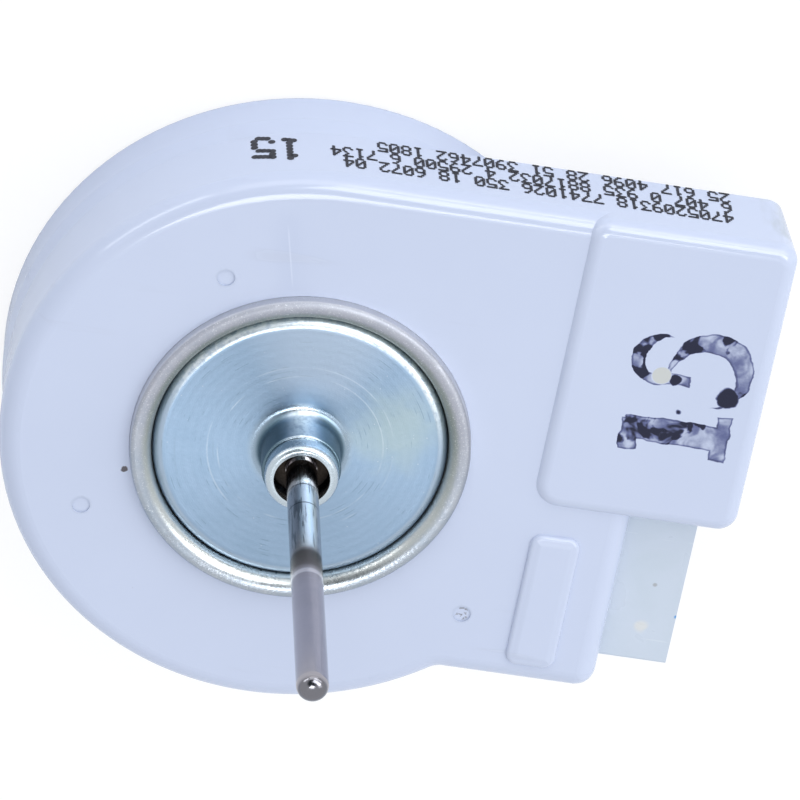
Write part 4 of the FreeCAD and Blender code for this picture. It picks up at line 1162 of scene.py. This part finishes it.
@dataclass
class Rotor(SubAssembly):
    """The shaft with what turns on it."""

    finishes: FinishTable = (
        (GroundSteel("shaft_steel", (0.46, 0.43, 0.45), 0.15, 1.0), ("shaft",)),
        (GrainedFinish(
            "rotor_steel", (0.34, 0.34, 0.36), 0.36, 1.0,
            second=(0.22, 0.21, 0.22), height_mm=0.01,
        ), ("rotor_core",)),
        (GrainedFinish(
            "ferrite", (0.055, 0.055, 0.06), 0.6, second=(0.10, 0.10, 0.10), grain_mm=0.3
        ), ("ring_magnet",)),
        (WEAR_PLASTIC, ("rear_washer", "front_spacer")),
    )


# Studio


TO_CAMERA: Direction = (-0.12154, 0.48233, 0.86752)
LIT_POINT_X = 0.01  # the lamps face a point between the shaft and the block


@dataclass(frozen=True)
class SoftBox:
    """A rectangular soft light that faces the part.

    Args:
        name: Name of the lamp.
        azimuth: Degrees from +X towards +Y.
        elevation: Degrees above the floor.
        width: Width of the light.
        height: Height of the light.
        radiance: Brightness of its surface.
        distance: Distance from the part.
        gloss_only: Whether the light shows in gloss alone.
    """

    name: str
    azimuth: float
    elevation: float
    width: float
    height: float
    radiance: float
    distance: float = 1.0
    gloss_only: bool = True

    def build(self, target: Vector) -> None:
        """Hang the light and point it at the target."""
        around, up = math.radians(self.azimuth), math.radians(self.elevation)
        away = Vector(
            (math.cos(around) * math.cos(up), math.sin(around) * math.cos(up), math.sin(up))
        )
        light = bpy.data.lights.new(self.name, "AREA")
        light.shape = "RECTANGLE"
        light.size = self.width
        light.size_y = self.height
        light.energy = self.radiance * math.pi * self.width * self.height
        lamp = bpy.data.objects.new(self.name, light)
        lamp.visible_diffuse = not self.gloss_only
        lamp.location = target + away * self.distance
        lamp.rotation_mode = "QUATERNION"
        lamp.rotation_quaternion = (-away).to_track_quat("-Z", "Y")
        bpy.context.scene.collection.objects.link(lamp)


@dataclass
class Studio:
    """Pale floor, plain world and soft boxes."""

    floor_width: float = 6.0
    floor_gap: float = 0.0002
    paper: Colour = (0.93, 0.94, 0.96)
    glow: float = 1.09
    glow_share: float = 0.72
    white: Colour = (1.0, 1.0, 1.0)
    sky: Colour = (0.93, 0.96, 1.0)
    dim_sky: Colour = (0.22, 0.25, 0.30)
    sky_axis: Direction = (0.75, 0.35, 0.56)
    sky_strength: float = 1.08
    dark_patch: Colour = (0.05, 0.07, 0.08)
    patch_axis: Direction = TO_CAMERA
    boxes: tuple[SoftBox, ...] = (
        SoftBox("over_box", 250.0, 86.0, 0.34, 0.34, 6.0),
        SoftBox("tail_box", 57.0, 48.0, 0.95, 0.40, 5.0),
        SoftBox("tail_strip", 60.0, 24.0, 0.95, 0.09, 5.0),
        SoftBox("drum_box", 143.0, 20.0, 0.60, 0.18, 3.4),
        SoftBox("side_box", 20.0, 48.0, 0.5, 0.5, 1.2, gloss_only=False),
        SoftBox("wall_box", 92.0, 20.0, 1.0, 0.5, 1.15, gloss_only=False),
    )

    def build(self, target: Vector, floor_height: float) -> None:
        """Lay the floor, light the world and hang the soft boxes.

        Args:
            target: Point that the lights face.
            floor_height: Height of the floor.
        """
        self._lay_floor(target, floor_height)
        self._light_world()
        for box in self.boxes:
            box.build(target)
        LOG.info("studio: floor, world and %d soft boxes", len(self.boxes))

    def _lay_floor(self, target: Vector, height: float) -> None:
        """Lay a white floor that keeps a faint shadow and is clear from below."""
        half = self.floor_width / 2
        mesh = bpy.data.meshes.new("floor")
        corners = [(-half, -half), (half, -half), (half, half), (-half, half)]
        level = height - self.floor_gap
        mesh.from_pydata([(x, y, level) for x, y in corners], [], [(0, 1, 2, 3)])
        floor = bpy.data.objects.new("floor", mesh)
        floor.location = (target.x, target.y, 0.0)
        bpy.context.scene.collection.objects.link(floor)
        floor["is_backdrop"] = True
        material = bpy.data.materials.new("floor_paper")
        material.use_nodes = True
        sheet = Sheet(material.node_tree)
        seen = Wire(sheet, sheet.node("ShaderNodeLightPath").outputs["Is Camera Ray"])
        paper = sheet.node("ShaderNodeBsdfDiffuse", None, {"Color": self.paper})
        glow = sheet.node("ShaderNodeEmission", None, {"Color": self.white, "Strength": self.glow})
        upper = sheet.either(seen * self.glow_share, paper, glow)
        under = Wire(sheet, sheet.node("ShaderNodeNewGeometry").outputs["Backfacing"])
        one_sided = sheet.either(under, upper, sheet.node("ShaderNodeBsdfTransparent"))
        sheet.node("ShaderNodeOutputMaterial", None, {"Surface": one_sided.outputs[0]})
        mesh.materials.append(material)

    @staticmethod
    def _seen_rays(sheet: Sheet) -> Wire:
        """1 for rays from the camera and through gloss or glass, 0 for light."""
        path = sheet.node("ShaderNodeLightPath").outputs
        camera = Wire(sheet, path["Is Camera Ray"])
        glossy = Wire(sheet, path["Is Glossy Ray"])
        return camera.most(glossy).most(Wire(sheet, path["Is Transmission Ray"]))

    def _light_world(self) -> None:
        """Give the world a soft sky, seen as white with one dark patch."""
        world = bpy.data.worlds.new("studio_world")
        bpy.context.scene.world = world
        world.use_nodes = True
        sheet = Sheet(world.node_tree)
        seen = self._seen_rays(sheet)
        patch = self._facing(sheet, self.patch_axis).rise(0.80, 0.95)
        white = sheet.blend(patch, self.white, self.dark_patch)
        sky = sheet.blend(
            self._facing(sheet, self.sky_axis).rise(-0.9, 0.6), self.dim_sky, self.sky
        )
        soft = sheet.node("ShaderNodeBackground", None, {"Color": sky, "Strength": self.sky_strength})
        shown = sheet.node("ShaderNodeBackground", None, {"Color": white, "Strength": 1.0})
        mixed = sheet.either(seen, soft, shown)
        sheet.node("ShaderNodeOutputWorld", None, {"Surface": mixed.outputs[0]})

    @staticmethod
    def _facing(sheet: Sheet, axis: Direction) -> Wire:
        """How far a ray's direction agrees with the axis, 1 where it is the same."""
        towards = sheet.node("ShaderNodeTexCoord").outputs["Generated"]
        inputs = {0: towards, 1: axis}
        return sheet.wire("ShaderNodeVectorMath", {"operation": "DOT_PRODUCT"}, inputs, "Value")


@dataclass(frozen=True)
class PhotoCamera:
    """The camera at the photograph's angle.

    Args:
        right: Direction of the picture's right side.
        down: Direction of the picture's lower side.
        back: Direction from the part to the camera.
        distance: Distance from the middle of the front face.
        aside_mm: How far the axis passes beside that middle, right and down.
        focal_pixels: Focal length in pixels of the picture.
        picture_pixels: Width of the picture in pixels.
        sensor_mm: Width of the camera's sensor.
        clip: Nearest and farthest distance that is drawn.
    """

    right: Direction = (0.98232, 0.18385, 0.03540)
    down: Direction = (0.14242, -0.85648, 0.49614)
    back: Direction = TO_CAMERA
    distance: float = 0.9
    aside_mm: tuple[float, float] = (10.0, -4.58)
    focal_pixels: float = 8991.0
    picture_pixels: int = 800
    sensor_mm: float = 36.0
    clip: tuple[float, float] = (0.05, 20.0)

    def build(self, face: Vector) -> None:
        """Set the scene's camera.

        Args:
            face: Middle of the front face.
        """
        lens = bpy.data.cameras.new("photo_camera")
        lens.sensor_width = self.sensor_mm
        lens.lens = self.focal_pixels / self.picture_pixels * self.sensor_mm
        lens.clip_start, lens.clip_end = self.clip
        right, down, back = Vector(self.right), Vector(self.down), Vector(self.back)
        camera = bpy.data.objects.new("photo_camera", lens)
        spot = face + back * self.distance
        spot += right * (self.aside_mm[0] * MM) + down * (self.aside_mm[1] * MM)
        camera.location = spot
        camera.rotation_mode = "QUATERNION"
        camera.rotation_quaternion = Matrix((right, -down, back)).transposed().to_quaternion()
        bpy.context.scene.collection.objects.link(camera)
        bpy.context.scene.camera = camera


def main() -> None:
    """Dress every piece, and set the studio and the camera."""
    logging.basicConfig(level=logging.INFO, format="%(name)s: %(message)s")
    cad_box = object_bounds()
    nodes = frame["nodes"]
    groups = (Housing, FrontMetalwork, BearingSet, Stator, ControlBoard, TailConnector, Rotor)
    for group in groups:
        group(nodes).dress()
    low, high = cad_box
    Studio().build(Vector((LIT_POINT_X, 0.0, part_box("bead_ring")[1].z)), low.z)
    PhotoCamera().build(Vector((0.0, 0.0, FACE_MM * MM)))
    bpy.context.scene.view_settings.view_transform = "Standard"


if __name__ == "__main__":
    main()
